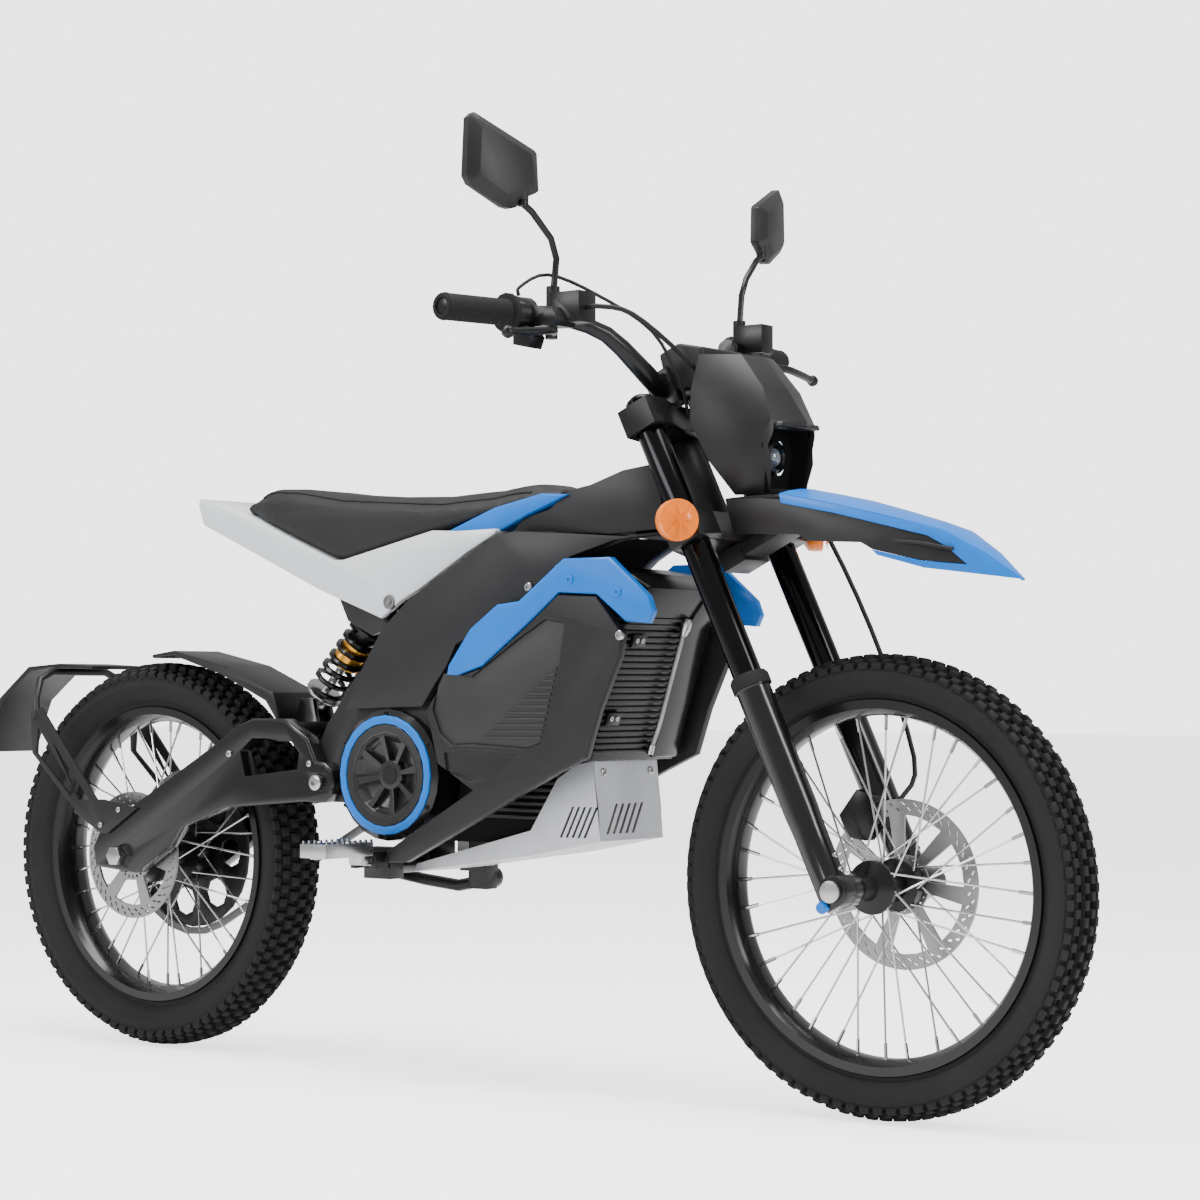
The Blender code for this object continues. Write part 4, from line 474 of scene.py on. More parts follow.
for side, label in ((-1, "right"), (1, "left")):
    cutters = []
    for outline, depth in ((FIELD, 0.0040), (ARM_WINDOW, 0.0050)):
        cutters.append(extruded(outline, side * (SIDE_OUT - depth), side * (SIDE_OUT + 0.02), "recess"))
    cover = rounded_copy("side_cover_" + label, 0.0014, "side_cover_" + label + "_moulded", cutters)
    dress(cover, satin_black, "frame", 40)
    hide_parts("side_cover_" + label)
    floor_panel = extruded(
        [(x + (0.165 - x) * 0.012, z + (0.58 - z) * 0.012) for x, z in FIELD],
        side * (SIDE_OUT - 0.0042), side * (SIDE_OUT - 0.0030), "field_panel",
    )
    dress(round_edges(floor_panel, 0.0006), cover_black, "frame", 40)
    slats = []
    for i in range(12):
        share = (i + 0.5) / 12
        z = 0.5010 + 0.1060 * share
        left = 0.1250 + (0.2640 - 0.1250) * share
        right = 0.2400 + (0.2700 - 0.2400) * share
        slats.append(
            extruded(
                [
                    (left, z - 0.0016), (left + 0.006, z + 0.0016), (right, z + 0.0022),
                    (right - 0.001, z - 0.0022),
                ],
                side * (SIDE_OUT - 0.0035), side * (SIDE_OUT - 0.0009),
            )
        )
    louvres = round_edges(joined(slats, "cover_louvres_" + label), 0.0009)
    dress(louvres, cover_black, "frame", 40)
    trim = rounded_copy("side_trim_" + label, 0.0022, "side_trim_" + label + "_moulded")
    dress(trim, azure, "frame", 40)
    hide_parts("side_trim_" + label)
    heads = []
    for x, z, r in ((0.2926, 0.7265, 0.0060), (0.3758, 0.7076, 0.0060)):
        heads.append(screw((x, side * 0.1400, z), (0, side, 0), r, 0.0022))
    dress(joined(heads, "trim_fasteners_" + label), azure, "frame", 40)
    bolts = []
    for x, z, y in (
        (0.1975, 0.7185, 0.1104), (0.0997, 0.6480, 0.1104), (0.3800, 0.6480, 0.1400),
        (0.0482, 0.3767, 0.1260),
    ):
        bolts.append(screw((x, side * y, z), (0, side, 0), 0.0068, 0.0042))
    dress(joined(bolts, "cover_bolts_" + label), bright_metal, "frame", 40)


# Motor -------------------------------------------------------------------------------------------
# A round mid-mounted motor under gloss black side castings. The outer face is a shallow dish of
# sixteen facets with eight radial ribs that run out from the hub, inside a ring moulded in azure.
MOTOR_CENTRE = Vector((-0.06675, 0, 0.448))
motor = rounded_copy("motor", 0, "motor_castings")
dress(motor, gloss_black, "frame", 25)
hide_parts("motor")
DISH_AT = MOTOR_CENTRE + Vector((0, -0.1190, 0))
dish = revolved(
    [
        (-0.0015, 0.0750), (-0.0005, 0.0640), (0.0030, 0.0590), (0.0130, 0.0500), (0.0200, 0.0300),
        (0.0200, 0), (0.0220, 0), (0.0220, 0.0460), (0.0010, 0.0590), (0.0012, 0.0750),
    ],
    DISH_AT, (0, 1, 0), 16, "dish",
)
hub_cap = revolved(
    [
        (0.0215, 0), (0.0215, 0.0240), (0.0120, 0.0225), (0.0100, 0.0205), (0.0100, 0.0060),
        (0.0125, 0.0045), (0.0125, 0),
    ],
    DISH_AT, (0, 1, 0), 32, "hub_cap",
)
ribs = []
for i in range(8):
    turn = math.radians(45 * i + 10)
    along = Vector((math.cos(turn), 0, math.sin(turn)))
    across = Vector((-math.sin(turn), 0, math.cos(turn)))
    outline = []
    for reach, half in ((0.020, -0.0030), (0.0585, -0.0055), (0.0585, 0.0055), (0.020, 0.0030)):
        point = MOTOR_CENTRE + along * reach + across * half
        outline.append((point.x, point.z))
    rib = extruded(outline, -0.0985, -0.1085, "rib")
    for vertex in rib.data.vertices:
        far = math.hypot(vertex.co.x - MOTOR_CENTRE.x, vertex.co.z - MOTOR_CENTRE.z)
        if far > 0.04 and vertex.co.y < -0.1:
            vertex.co.y = -0.1165
    ribs.append(rib)
face = joined([dish, hub_cap] + ribs, "motor_dish")
dish_black = finish("motor_dish_black", (0.012, 0.012, 0.0125), 0.30, grain=700, bump=0.06, coat=0.2)
dress(round_edges(face, 0.0006), dish_black, "frame", 15)
ring = rounded_copy("motor_ring", 0.0012, "motor_ring_moulded")
dress(ring, azure, "frame", 40)
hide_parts("motor_ring")
shroud = extruded([(-0.150, 0.480), (0.008, 0.480), (0.022, 0.556), (-0.135, 0.572)], -0.0990, 0.0990)
dress(round_edges(shroud, 0.003), satin_black, "frame", 40)
case_bolts = []
for side in (-1, 1):
    for i in range(6):
        turn = math.radians(60 * i + 30)
        case_bolts.append(
            screw(
                (
                    MOTOR_CENTRE.x + 0.0915 * math.cos(turn), side * 0.1165,
                    MOTOR_CENTRE.z + 0.0915 * math.sin(turn),
                ),
                (0, side, 0), 0.0032, 0.0022,
            )
        )
dress(joined(case_bolts, "motor_bolts"), black_metal, "frame", 40)


# Skid plate --------------------------------------------------------------------------------------
# Folded aluminium sheet under the motor and the battery. Five slanted drain slots are cut in each
# side and five in the front, and bright screws hold its upper lugs.
skid_metal = finish(
    "satin_aluminium_sheet", (0.52, 0.53, 0.55), 0.34, metallic=0.6, grain=900, bump=0.05, drift=0.06,
)
# Near-black with almost no reflection: painted shade, for the dark seen inside the skid slots and the lamp
# mouth.
painted_shade_black = finish("deep_black_recess", (0.003, 0.003, 0.003), 0.8, grain=900, bump=0.1, specular=0.1)


def headed(outline, x0, x1, name="block"):
    """A solid from a front-view outline of (y, z) points, extruded from x0 to x1."""
    piece = extruded([(y, z) for y, z in outline], x0, x1, name)
    piece.data.transform(Matrix(((0, 1, 0, 0), (1, 0, 0, 0), (0, 0, 1, 0), (0, 0, 0, 1))))
    take(piece)
    bpy.ops.object.mode_set(mode="EDIT")
    bpy.ops.mesh.select_all(action="SELECT")
    bpy.ops.mesh.normals_make_consistent(inside=False)
    bpy.ops.object.mode_set(mode="OBJECT")
    return piece


cutters = []
for side in (-1, 1):
    for i in range(5):
        x = 0.2240 + 0.0105 * i
        slot = [(x, 0.3640), (x + 0.0042, 0.3640), (x + 0.0262, 0.4080), (x + 0.0220, 0.4080)]
        cutters.append(extruded(slot, side * 0.055, side * 0.095, "slot"))
for i in range(5):
    y = -0.0600 + 0.0150 * i
    slot = [(y, 0.3700), (y + 0.0055, 0.3700), (y + 0.0335, 0.4120), (y + 0.0280, 0.4120)]
    cutters.append(headed(slot, 0.270, 0.320, "slot"))
skid = rounded_copy("skid_plate", 0.0012, "skid_plate_folded", cutters)
dress(skid, skid_metal, "frame", 18)
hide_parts("skid_plate")
skid_bolts = []
for y in (-0.056, 0.056):
    skid_bolts.append(screw((0.2865, y, 0.4570), (1, 0, 0.1), 0.0058, 0.0034))
dress(joined(skid_bolts, "skid_screws"), bright_metal, "frame", 40)
# A near-black block behind the slots, its finish painted shade that darkens the view through the skid
# plate.
housing = extruded(
    [(0.020, 0.352), (0.165, 0.352), (0.262, 0.374), (0.274, 0.472), (0.040, 0.480)],
    -0.0690, 0.0690,
)
dress(round_edges(housing, 0.003), painted_shade_black, "frame", 40)
vents = []
for side in (-1, 1):
    for i in range(7):
        z = 0.388 + 0.0100 * i
        vents.append(
            extruded(
                [
                    (0.085 + 0.5 * (z - 0.388), z), (0.235, z), (0.235, z + 0.0048),
                    (0.095 + 0.5 * (z - 0.388), z + 0.0048),
                ],
                side * 0.0680, side * 0.0730,
            )
        )
dress(round_edges(joined(vents, "lower_vents"), 0.0010), cover_black, "frame", 40)


# Tail, seat and nose trim ------------------------------------------------------------------------
# Gloss light-grey tail panels on the rails with one big round bolt each side, an azure nose trim
# under the front of the seat, and a foam saddle in a grained vinyl cover with a sewn welt.
cowl_white = finish(
    "light_grey_gloss_plastic", (0.60, 0.62, 0.64), 0.26, grain=700, bump=0.03, drift=0.03, coat=0.3,
)
cast_metal = finish("grey_cast_metal", (0.16, 0.16, 0.165), 0.50, metallic=0.6, grain=1500, bump=0.35)
tail = rounded_copy("tail_cowl", 0.0035, "tail_cowl_moulded")
dress(tail, cowl_white, "frame", 40)
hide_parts("tail_cowl")
tail_bolts = []
for side in (-1, 1):
    tail_bolts.append(
        revolved(
            [
                (-0.003, 0), (-0.003, 0.0115), (0.0020, 0.0105), (0.0020, 0.0080), (0.0008, 0.0075),
                (0.0008, 0.0045), (0.0032, 0.0040), (0.0032, 0),
            ],
            (-0.0758, side * 0.1003, 0.7030), (0, side, 0), 24,
        )
    )
dress(joined(tail_bolts, "tail_cowl_bolts"), cast_metal, "frame", 40)
NOSE = [
    (0.0180, 0.8020), (0.1145, 0.7965), (0.1761, 0.8235), (0.2484, 0.8500), (0.2004, 0.8530),
    (0.1145, 0.8360),
]
noses = []
for side in (-1, 1):
    noses.append(extruded(NOSE, side * 0.0600, side * 0.0895, "nose"))
dress(round_edges(joined(noses, "seat_nose_trim"), 0.0030, segments=3), azure, "frame", 40)

seat = rounded_copy("seat", 0.0040, "seat_saddle")
vinyl = finish("seat_vinyl", (0.013, 0.013, 0.0135), 0.55, grain=1500, bump=0.30, specular=0.25)
remesh = seat.modifiers.new("even_mesh", "REMESH")
remesh.mode = "VOXEL"
remesh.voxel_size = 0.0060
bpy.ops.object.modifier_apply(modifier="even_mesh")
start_shape = [vertex.co.copy() for vertex in seat.data.vertices]
cloth = seat.modifiers.new("padding", "CLOTH")
cloth.settings.use_pressure = True
cloth.settings.uniform_pressure_force = 4
cloth.settings.effector_weights.gravity = 0
cloth.point_cache.frame_start = 1
cloth.point_cache.frame_end = 20
for step in range(1, 21):
    bpy.context.scene.frame_set(step)
bpy.ops.object.modifier_apply(modifier="padding")
bpy.context.scene.frame_set(1)
for vertex, was in zip(seat.data.vertices, start_shape):
    moved = vertex.co - was
    if moved.length > 0.005:
        moved *= 0.005 / moved.length
    if was.z < 0.84:
        moved *= 0.25
    vertex.co = was + moved
take(seat)
smooth = seat.modifiers.new("smooth", "SMOOTH")
smooth.factor = 0.5
smooth.iterations = 4
bpy.ops.object.modifier_apply(modifier="smooth")
finer = seat.modifiers.new("finer", "SUBSURF")
finer.levels = 1
finer.render_levels = 1
bpy.ops.object.modifier_apply(modifier="finer")


def cover_width(along):
    """Half the width of the saddle's upper surface at one place along it."""
    ring = [vertex.co for vertex in seat.data.vertices if abs(vertex.co.x - along) < 0.006]
    crest = max(place.z for place in ring)
    return max(abs(place.y) for place in ring if place.z > crest - 0.030)


stations = [-0.365 + 0.0145 * step for step in range(37)]
widths = [cover_width(along) for along in stations]
welts = []
for side in (-1, 1):
    route = []
    for step, along in enumerate(stations):
        near = widths[max(step - 2, 0):step + 3]
        across = side * 0.80 * sum(near) / len(near)
        hit, place, normal, face = seat.ray_cast((along, across, 1.2), (0, 0, -1))
        if hit:
            route.append(tuple(place + normal * 0.0004))
    welts.append(cable(route, 0.0019, "seat_welt"))
welt = joined(welts, "seat_sewn_welt")
dress(welt, vinyl, "frame", 60)
dress(seat, vinyl, "frame", 60)
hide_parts("seat")


# Headlight mask and lamp -------------------------------------------------------------------------
# A hollow moulded shell in front of the bars. A hexagonal mouth with a brow over it holds a small
# projector lens, set well back in a black housing, beside a white crescent of running light.
MOUTH = [(-0.050, 0.934), (-0.056, 0.905), (-0.044, 0.846), (0.044, 0.846), (0.056, 0.905), (0.050, 0.934)]
mask = rounded_copy("headlight_mask", 0.0018, "mask_shell", [headed(MOUTH, 0.545, 0.700, "mouth")])
dress(mask, satin_black, "steering", 35)
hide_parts("headlight_mask")
funnel_out = [(y * 1.10, 0.890 + (z - 0.890) * 1.10) for y, z in MOUTH]
funnel = headed(funnel_out, 0.528, 0.562, "lamp_housing")
cut_away(
    funnel,
    [headed([(y * 0.97, 0.890 + (z - 0.890) * 0.97) for y, z in MOUTH], 0.534, 0.600, "hollow")],
)
# The lamp housing is black, and its near-black unreflective finish is also painted shade for the deep
# mouth.
dress(round_edges(funnel, 0.001), painted_shade_black, "steering", 35)
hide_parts("headlamp")
brow = headed(
    [(-0.049, 0.9310), (-0.045, 0.9385), (0.045, 0.9385), (0.049, 0.9310)],
    0.552, 0.5850, "mask_brow",
)
dress(round_edges(brow, 0.0022), satin_black, "steering", 40)
display = extruded(
    [(0.396, 0.988), (0.381, 1.042), (0.414, 1.056), (0.456, 1.048), (0.452, 0.990)],
    -0.052, 0.052,
)
dress(round_edges(display, 0.004, segments=3), satin_black, "steering", 40)
screen = extruded([(0.3925, 0.9980), (0.3812, 1.0380), (0.3795, 1.0375), (0.3908, 0.9975)], -0.044, 0.044)
screen_glass = finish("display_glass", (0.004, 0.006, 0.008), 0.06, grain=300, bump=0.01, coat=1.0)
dress(round_edges(screen, 0.0005), screen_glass, "steering", 40)
LAMP = Vector((0.534, 0.0, 0.893))
bezel = revolved(
    [(0, 0.0145), (0.010, 0.0150), (0.0125, 0.0175), (0.0105, 0.0225), (0, 0.0240)],
    LAMP, (1, 0, 0), 48, "projector_bezel",
)
dress(bezel, gloss_black, "steering", 35)
lens = revolved(
    [(0, 0), (0, 0.0142), (0.006, 0.0138), (0.0105, 0.0110), (0.0135, 0.0060), (0.0145, 0)],
    LAMP, (1, 0, 0), 48, "projector_lens",
)
lens_glass = finish(
    "projector_glass", (0.10, 0.12, 0.14), 0.05, grain=300, bump=0.01, coat=1.0, specular=0.8,
)
dress(lens, lens_glass, "steering", 60)
running = bpy.data.materials.new("running_light")
running.use_nodes = True
running_nodes = running.node_tree.nodes
glow = running_nodes["Principled BSDF"]
glow.inputs["Base Color"].default_value = (0.8, 0.88, 0.9, 1)
glow.inputs["Emission Color"].default_value = (0.82, 0.95, 1.0, 1)
glow.inputs["Emission Strength"].default_value = 2.2
glow.inputs["Roughness"].default_value = 0.3
diffuser = running_nodes.new("ShaderNodeTexNoise")
diffuser.inputs["Scale"].default_value = 700
diffuser_bump = running_nodes.new("ShaderNodeBump")
diffuser_bump.inputs["Strength"].default_value = 0.2
running.node_tree.links.new(diffuser.outputs["Fac"], diffuser_bump.inputs["Height"])
running.node_tree.links.new(diffuser_bump.outputs["Normal"], glow.inputs["Normal"])
for side in (-1, 1):
    outer = []
    inner = []
    for i in range(13):
        turn = math.radians(-52 + 104 * i / 12)
        outer.append((side * 0.0300 * math.cos(turn), LAMP.z + 0.0300 * math.sin(turn)))
        inner.append((side * 0.0262 * math.cos(turn), LAMP.z + 0.0262 * math.sin(turn)))
    crescent = headed(outer + inner[::-1], 0.532, 0.5385, "running_crescent")
    dress(round_edges(crescent, 0.0006), running, "steering", 35)


# Front fender ------------------------------------------------------------------------------------
# A beak of moulded sheet under the mask. Dark side walls hang from the crown, and the azure blade
# wraps over their upper edge and round the front, down to a sharp tip.
def bent_plate(points, thick, name):
    """A plate whose corner points each have their own place across, with its thickness inward."""
    side = 1 if points[0][1] > 0 else -1
    rest()
    bpy.ops.mesh.primitive_circle_add(vertices=len(points), fill_type="NGON", location=(0, 0, 0))
    piece = bpy.context.object
    piece.name = name
    for vertex, point in zip(piece.data.vertices, points):
        vertex.co = point
    bpy.ops.object.mode_set(mode="EDIT")
    bpy.ops.mesh.select_all(action="SELECT")
    bpy.ops.mesh.quads_convert_to_tris()
    bpy.ops.mesh.extrude_region_move(TRANSFORM_OT_translate={"value": (0, -side * thick, 0)})
    bpy.ops.mesh.select_all(action="SELECT")
    bpy.ops.mesh.normals_make_consistent(inside=False)
    bpy.ops.object.mode_set(mode="OBJECT")
    return piece


WALL = [
    (0.5077, 0.0720, 0.8320), (0.5214, 0.0720, 0.7857), (0.6305, 0.0800, 0.7806),
    (0.6463, 0.0800, 0.7712), (0.7257, 0.0750, 0.7671), (0.7412, 0.0710, 0.7576),
    (0.8025, 0.0510, 0.7421), (0.8595, 0.0290, 0.7360), (0.8356, 0.0390, 0.7610),
    (0.8098, 0.0460, 0.7790), (0.7749, 0.0550, 0.7880), (0.6845, 0.0750, 0.8120),
    (0.6040, 0.0810, 0.8290), (0.5651, 0.0790, 0.8320),
]
EDGE = [
    (0.6021, 0.0830, 0.8362), (0.6852, 0.0770, 0.8197), (0.8016, 0.0500, 0.7901),
    (0.8319, 0.0420, 0.7807), (0.8808, 0.0240, 0.7516), (0.9270, 0.0030, 0.7160),
    (0.8063, 0.0500, 0.7324), (0.7476, 0.0700, 0.7500), (0.7402, 0.0730, 0.7575),
    (0.8031, 0.0530, 0.7420), (0.8601, 0.0310, 0.7360), (0.8362, 0.0410, 0.7589),
    (0.8104, 0.0480, 0.7746), (0.7755, 0.0570, 0.7838), (0.6852, 0.0770, 0.8073),
    (0.6047, 0.0830, 0.8235),
]
bracket = rounded_copy("front_fender", 0.0010, "fender_bracket")
for vertex in bracket.data.vertices:
    if abs(vertex.co.y) > 0.030:
        vertex.co.y = math.copysign(0.030 + (abs(vertex.co.y) - 0.030) * 0.66, vertex.co.y)
    if vertex.co.z > 0.770:
        vertex.co.z -= 0.004
dress(bracket, satin_black, "steering", 40)
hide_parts("front_fender")


def crown_sheet(stations, rise, thick, name):
    """A crowned sheet across the beak from (x, half width, edge height) stations."""
    shares = (-1, -0.7, -0.35, 0, 0.35, 0.7, 1)
    rest()
    bpy.ops.mesh.primitive_grid_add(x_subdivisions=len(stations) - 1, y_subdivisions=6, size=1)
    piece = bpy.context.object
    piece.name = name
    order = sorted(piece.data.vertices, key=lambda vertex: (round(vertex.co.x, 5), round(vertex.co.y, 5)))
    for i, vertex in enumerate(order):
        x, half, edge = stations[i // 7]
        share = shares[i % 7]
        vertex.co = (x, half * share, edge + rise * (1 - share * share) * half / 0.08)
    bpy.ops.object.mode_set(mode="EDIT")
    bpy.ops.mesh.select_all(action="SELECT")
    bpy.ops.mesh.normals_make_consistent(inside=False)
    bpy.ops.object.mode_set(mode="OBJECT")
    wall = piece.modifiers.new("wall", "SOLIDIFY")
    wall.thickness = thick
    wall.offset = 0
    bpy.ops.object.modifier_apply(modifier="wall")
    return piece


rear_crown = crown_sheet(
    [(0.5077, 0.071, 0.8325), (0.5400, 0.076, 0.8335), (0.5720, 0.079, 0.8335), (0.6080, 0.081, 0.8320)],
    0.006, 0.003, "fender_crown",
)
dress(rear_crown, satin_black, "steering", 40)
front_crown = crown_sheet(
    [
        (0.6021, 0.0815, 0.8352), (0.6440, 0.0790, 0.8272), (0.6852, 0.0755, 0.8187),
        (0.7430, 0.0630, 0.8045), (0.8016, 0.0485, 0.7891), (0.8319, 0.0405, 0.7797),
        (0.8808, 0.0225, 0.7506), (0.9270, 0.0020, 0.7150),
    ],
    0.010, 0.003, "fender_blade_moulded",
)
dress(front_crown, azure, "steering", 40)
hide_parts("fender_blade")
for side, label in ((-1, "right"), (1, "left")):
    wall = bent_plate([(x, side * y, z) for x, y, z in WALL], 0.0030, "fender_wall_" + label)
    dress(round_edges(wall, 0.0008), satin_black, "steering", 25)
    edge = bent_plate([(x, side * y, z) for x, y, z in EDGE], 0.0045, "fender_edge_" + label)
    dress(round_edges(edge, 0.0012), azure, "steering", 25)


# Indicators --------------------------------------------------------------------------------------
# Round orange reflectors, moulded in one with their short stalks. Each lens has a rim and eight
# radial ridges.
orange_lens = finish(
    "orange_lens", (0.75, 0.165, 0.0), 0.22, grain=300, bump=0.05, drift=0.15, coat=0.3, specular=0.2,
)
for side, label in ((-1, "right"), (1, "left")):
    lamp = rounded_copy("indicator_" + label, 0.0010, "indicator_" + label + "_body")
    dress(lamp, orange_lens, "steering", 40)
    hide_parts("indicator_" + label)
    facing = Vector((0.8, side * 0.6, 0))
    centre = Vector((0.49625, side * 0.170, 0.800)) + facing * 0.005
    disc = revolved(
        [
            (-0.008, 0), (-0.008, 0.0284), (0.0045, 0.0284), (0.0068, 0.0272), (0.0062, 0.0245),
            (0.0085, 0.0150), (0.0092, 0),
        ],
        centre, facing, 48,
    )
    rays = [disc]
    for i in range(8):
        rest()
        bpy.ops.mesh.primitive_cube_add(size=1, location=(0, 0, 0))
        ray = bpy.context.object
        ray.data.transform(
            Matrix.Translation((0, 0.0125, 0.0135)) @ Matrix.Diagonal((0.0014, 0.0235, 0.0016, 1))
        )
        ray.data.transform(Matrix.Rotation(math.radians(45 * i), 4, "Z"))
        ray.data.transform(Matrix.Translation(centre) @ facing.to_track_quat("Z", "Y").to_matrix().to_4x4())
        rays.append(ray)
    dress(joined(rays, "indicator_lens_" + label), orange_lens, "steering", 30)


# Fork --------------------------------------------------------------------------------------------
# Upside-down fork: gloss black upper tubes in forged clamps slide into thicker lower legs with
# dust seals. Each foot clamps the axle with two bright pinch bolts, and the right one has a blue cap.
stanchion_black = finish(
    "black_nitride_tube", (0.012, 0.012, 0.013), 0.14, metallic=0.9, grain=300, bump=0.02,
)
grip_rubber = finish("grip_rubber", (0.009, 0.009, 0.0095), 0.75, grain=1200, bump=0.3, specular=0.2)
UP_FORK = Vector((-math.sin(math.radians(25.4)), 0, math.cos(math.radians(25.4))))
AHEAD_FORK = Vector((math.cos(math.radians(25.4)), 0, math.sin(math.radians(25.4))))
FORK_FOOT = Vector((0.67595, 0, 0.2925)) + AHEAD_FORK * 0.030
for node in ("lower_clamp", "upper_clamp"):
    rounded(node, 0.0018, black_metal)
for side, label in ((-1, "right"), (1, "left")):
    rounded("stanchion_" + label, 0.0005, stanchion_black)
    rounded("fork_leg_" + label, 0.0012, gloss_black)
    leg = FORK_FOOT + Vector((0, side * 0.105, 0))
    seal = revolved(
        [
            (0.298, 0.0250), (0.298, 0.0272), (0.312, 0.0272), (0.3165, 0.0245), (0.3165, 0.0212),
            (0.314, 0.0212),
        ],
        leg, UP_FORK, 40,
    )
    dress(seal, grip_rubber, "fork_lower", 40)
    cap = revolved(
        [(0.7372, 0), (0.7372, 0.0185), (0.7400, 0.0175), (0.7400, 0.0115), (0.7440, 0.0110), (0.7440, 0)],
        leg, UP_FORK, 24,
    )
    dress(cap, black_metal, "steering", 40)
    pinch = []
    for along in (0.006, 0.026, 0.046):
        pinch.append(screw(leg + UP_FORK * along + AHEAD_FORK * 0.0215, AHEAD_FORK, 0.0042, 0.0036))
    for turn in range(2):
        pinch.append(
            screw(
                leg + UP_FORK * (0.535 + 0.0) + AHEAD_FORK * 0.0290 + Vector(
                    (0, side * (0.006 - 0.012 * turn), 0)
                ),
                AHEAD_FORK, 0.0036, 0.003,
            )
        )
    pinch_bolts = joined(pinch[:3], "pinch_bolts_" + label)
    dress(pinch_bolts, bright_metal, "fork_lower", 40)
    dress(joined(pinch[3:], "clamp_bolts_" + label), bright_metal, "steering", 40)
foot_cap = revolved(
    [(-0.002, 0), (-0.002, 0.0085), (0.006, 0.0080), (0.008, 0.0060), (0.008, 0)],
    (0.700, -0.128, 0.2905), (0.2, -1, -0.2), 24,
)
dress(foot_cap, azure, "fork_lower", 40)
rounded("front_axle", 0.0008, bright_metal)
rounded("front_caliper", 0.0010, black_metal)


# Bars, controls and mirrors ----------------------------------------------------------------------
# A bent bar with ribbed rubber grips, folded levers, cast perches and switch blocks, and two
# angular mirrors on bent stems, each with flat glass behind a moulded shell.
for node in ("handlebar", "right_control", "left_control", "brake_lever_right", "brake_lever_left"):
    rounded(node, 0.0010, black_metal)
rounded("start_button", 0.0005, cast_metal)
GRIP_IN = Vector((0.29625, 0.281, 1.083))
GRIP_END = Vector((0.28225, 0.405, 1.080))
for side, node, body in ((-1, "throttle_grip", "throttle_grip"), (1, "left_grip", "steering")):
    rounded(node, 0.0010, grip_rubber)
    inner = Vector((GRIP_IN.x, side * GRIP_IN.y, GRIP_IN.z))
    outer = Vector((GRIP_END.x, side * GRIP_END.y, GRIP_END.z))
    sleeve = [(0.0015, 0.0165), (0.0015, 0.0230), (0.0045, 0.0235), (0.0060, 0.0190)]
    for i in range(19):
        along = 0.010 + 0.0056 * i
        sleeve += [
            (along, 0.0174), (along + 0.0012, 0.0183), (along + 0.0040, 0.0183), (along + 0.0052, 0.0174),
        ]
    sleeve += [(0.1180, 0.0190), (0.1225, 0.0180), (0.1225, 0.0165)]
    dress(revolved(sleeve, inner, outer - inner, 32, "grip_ribs"), grip_rubber, body, 40)
TOE = math.radians(16)
GLASS = [
    (0.0760, 0.0940), (0.0835, 0.0880), (0.0870, 0.0185), (0.0815, 0.0110), (0.0320, -0.0130),
    (0.0140, -0.0120), (0.0050, -0.0005), (-0.0165, 0.0085), (-0.0190, 0.0125), (-0.0160, 0.0530),
]
mirror_glass = finish(
    "mirror_glass", (0.75, 0.77, 0.80), 0.04, metallic=1.0, grain=200, bump=0.003, drift=0.02,
)
for side, label in ((-1, "right"), (1, "left")):
    rounded("mirror_" + label, 0.0030, satin_black)
    outward = Vector((-math.sin(TOE), side * math.cos(TOE), 0))
    ahead = Vector((math.cos(TOE), side * math.sin(TOE), 0))
    joint = Vector((0.32725, side * 0.288, 1.240))
    rest()
    bpy.ops.mesh.primitive_circle_add(vertices=len(GLASS), fill_type="NGON", location=(0, 0, 0))
    glass = bpy.context.object
    for vertex, (u, v) in zip(glass.data.vertices, GLASS):
        vertex.co = joint + outward * u + Vector((0, 0, v)) - ahead * 0.0098
    bpy.ops.object.mode_set(mode="EDIT")
    bpy.ops.mesh.select_all(action="SELECT")
    bpy.ops.mesh.extrude_region_move(TRANSFORM_OT_translate={"value": tuple(-ahead * 0.0012)})
    bpy.ops.mesh.select_all(action="SELECT")
    bpy.ops.mesh.normals_make_consistent(inside=False)
    bpy.ops.object.mode_set(mode="OBJECT")
    glass.name = "mirror_glass_" + label
    dress(glass, mirror_glass, "mirror_" + label, 30)


# Hoses and cables --------------------------------------------------------------------------------
# Plain rubber-sleeved lines from the hand controls. The brake hose spans the whole fork stroke:
# it rides on no body and is baked in place where it stands.
def plain_copy(node, name):
    """The structural cord's own mesh as a new object."""
    return rounded_copy(node, 0, name)


hose_rubber = finish("hose_rubber", (0.008, 0.008, 0.0085), 0.5, grain=2200, bump=0.25, specular=0.25)
hose = plain_copy("front_brake_hose", "brake_hose_sleeved")
dress(hose, hose_rubber, None, 50)
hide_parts("front_brake_hose")
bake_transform(hose)
throttle_cable = plain_copy("control_cable", "control_cable_sleeved")
dress(throttle_cable, hose_rubber, "steering", 50)
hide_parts("control_cable")


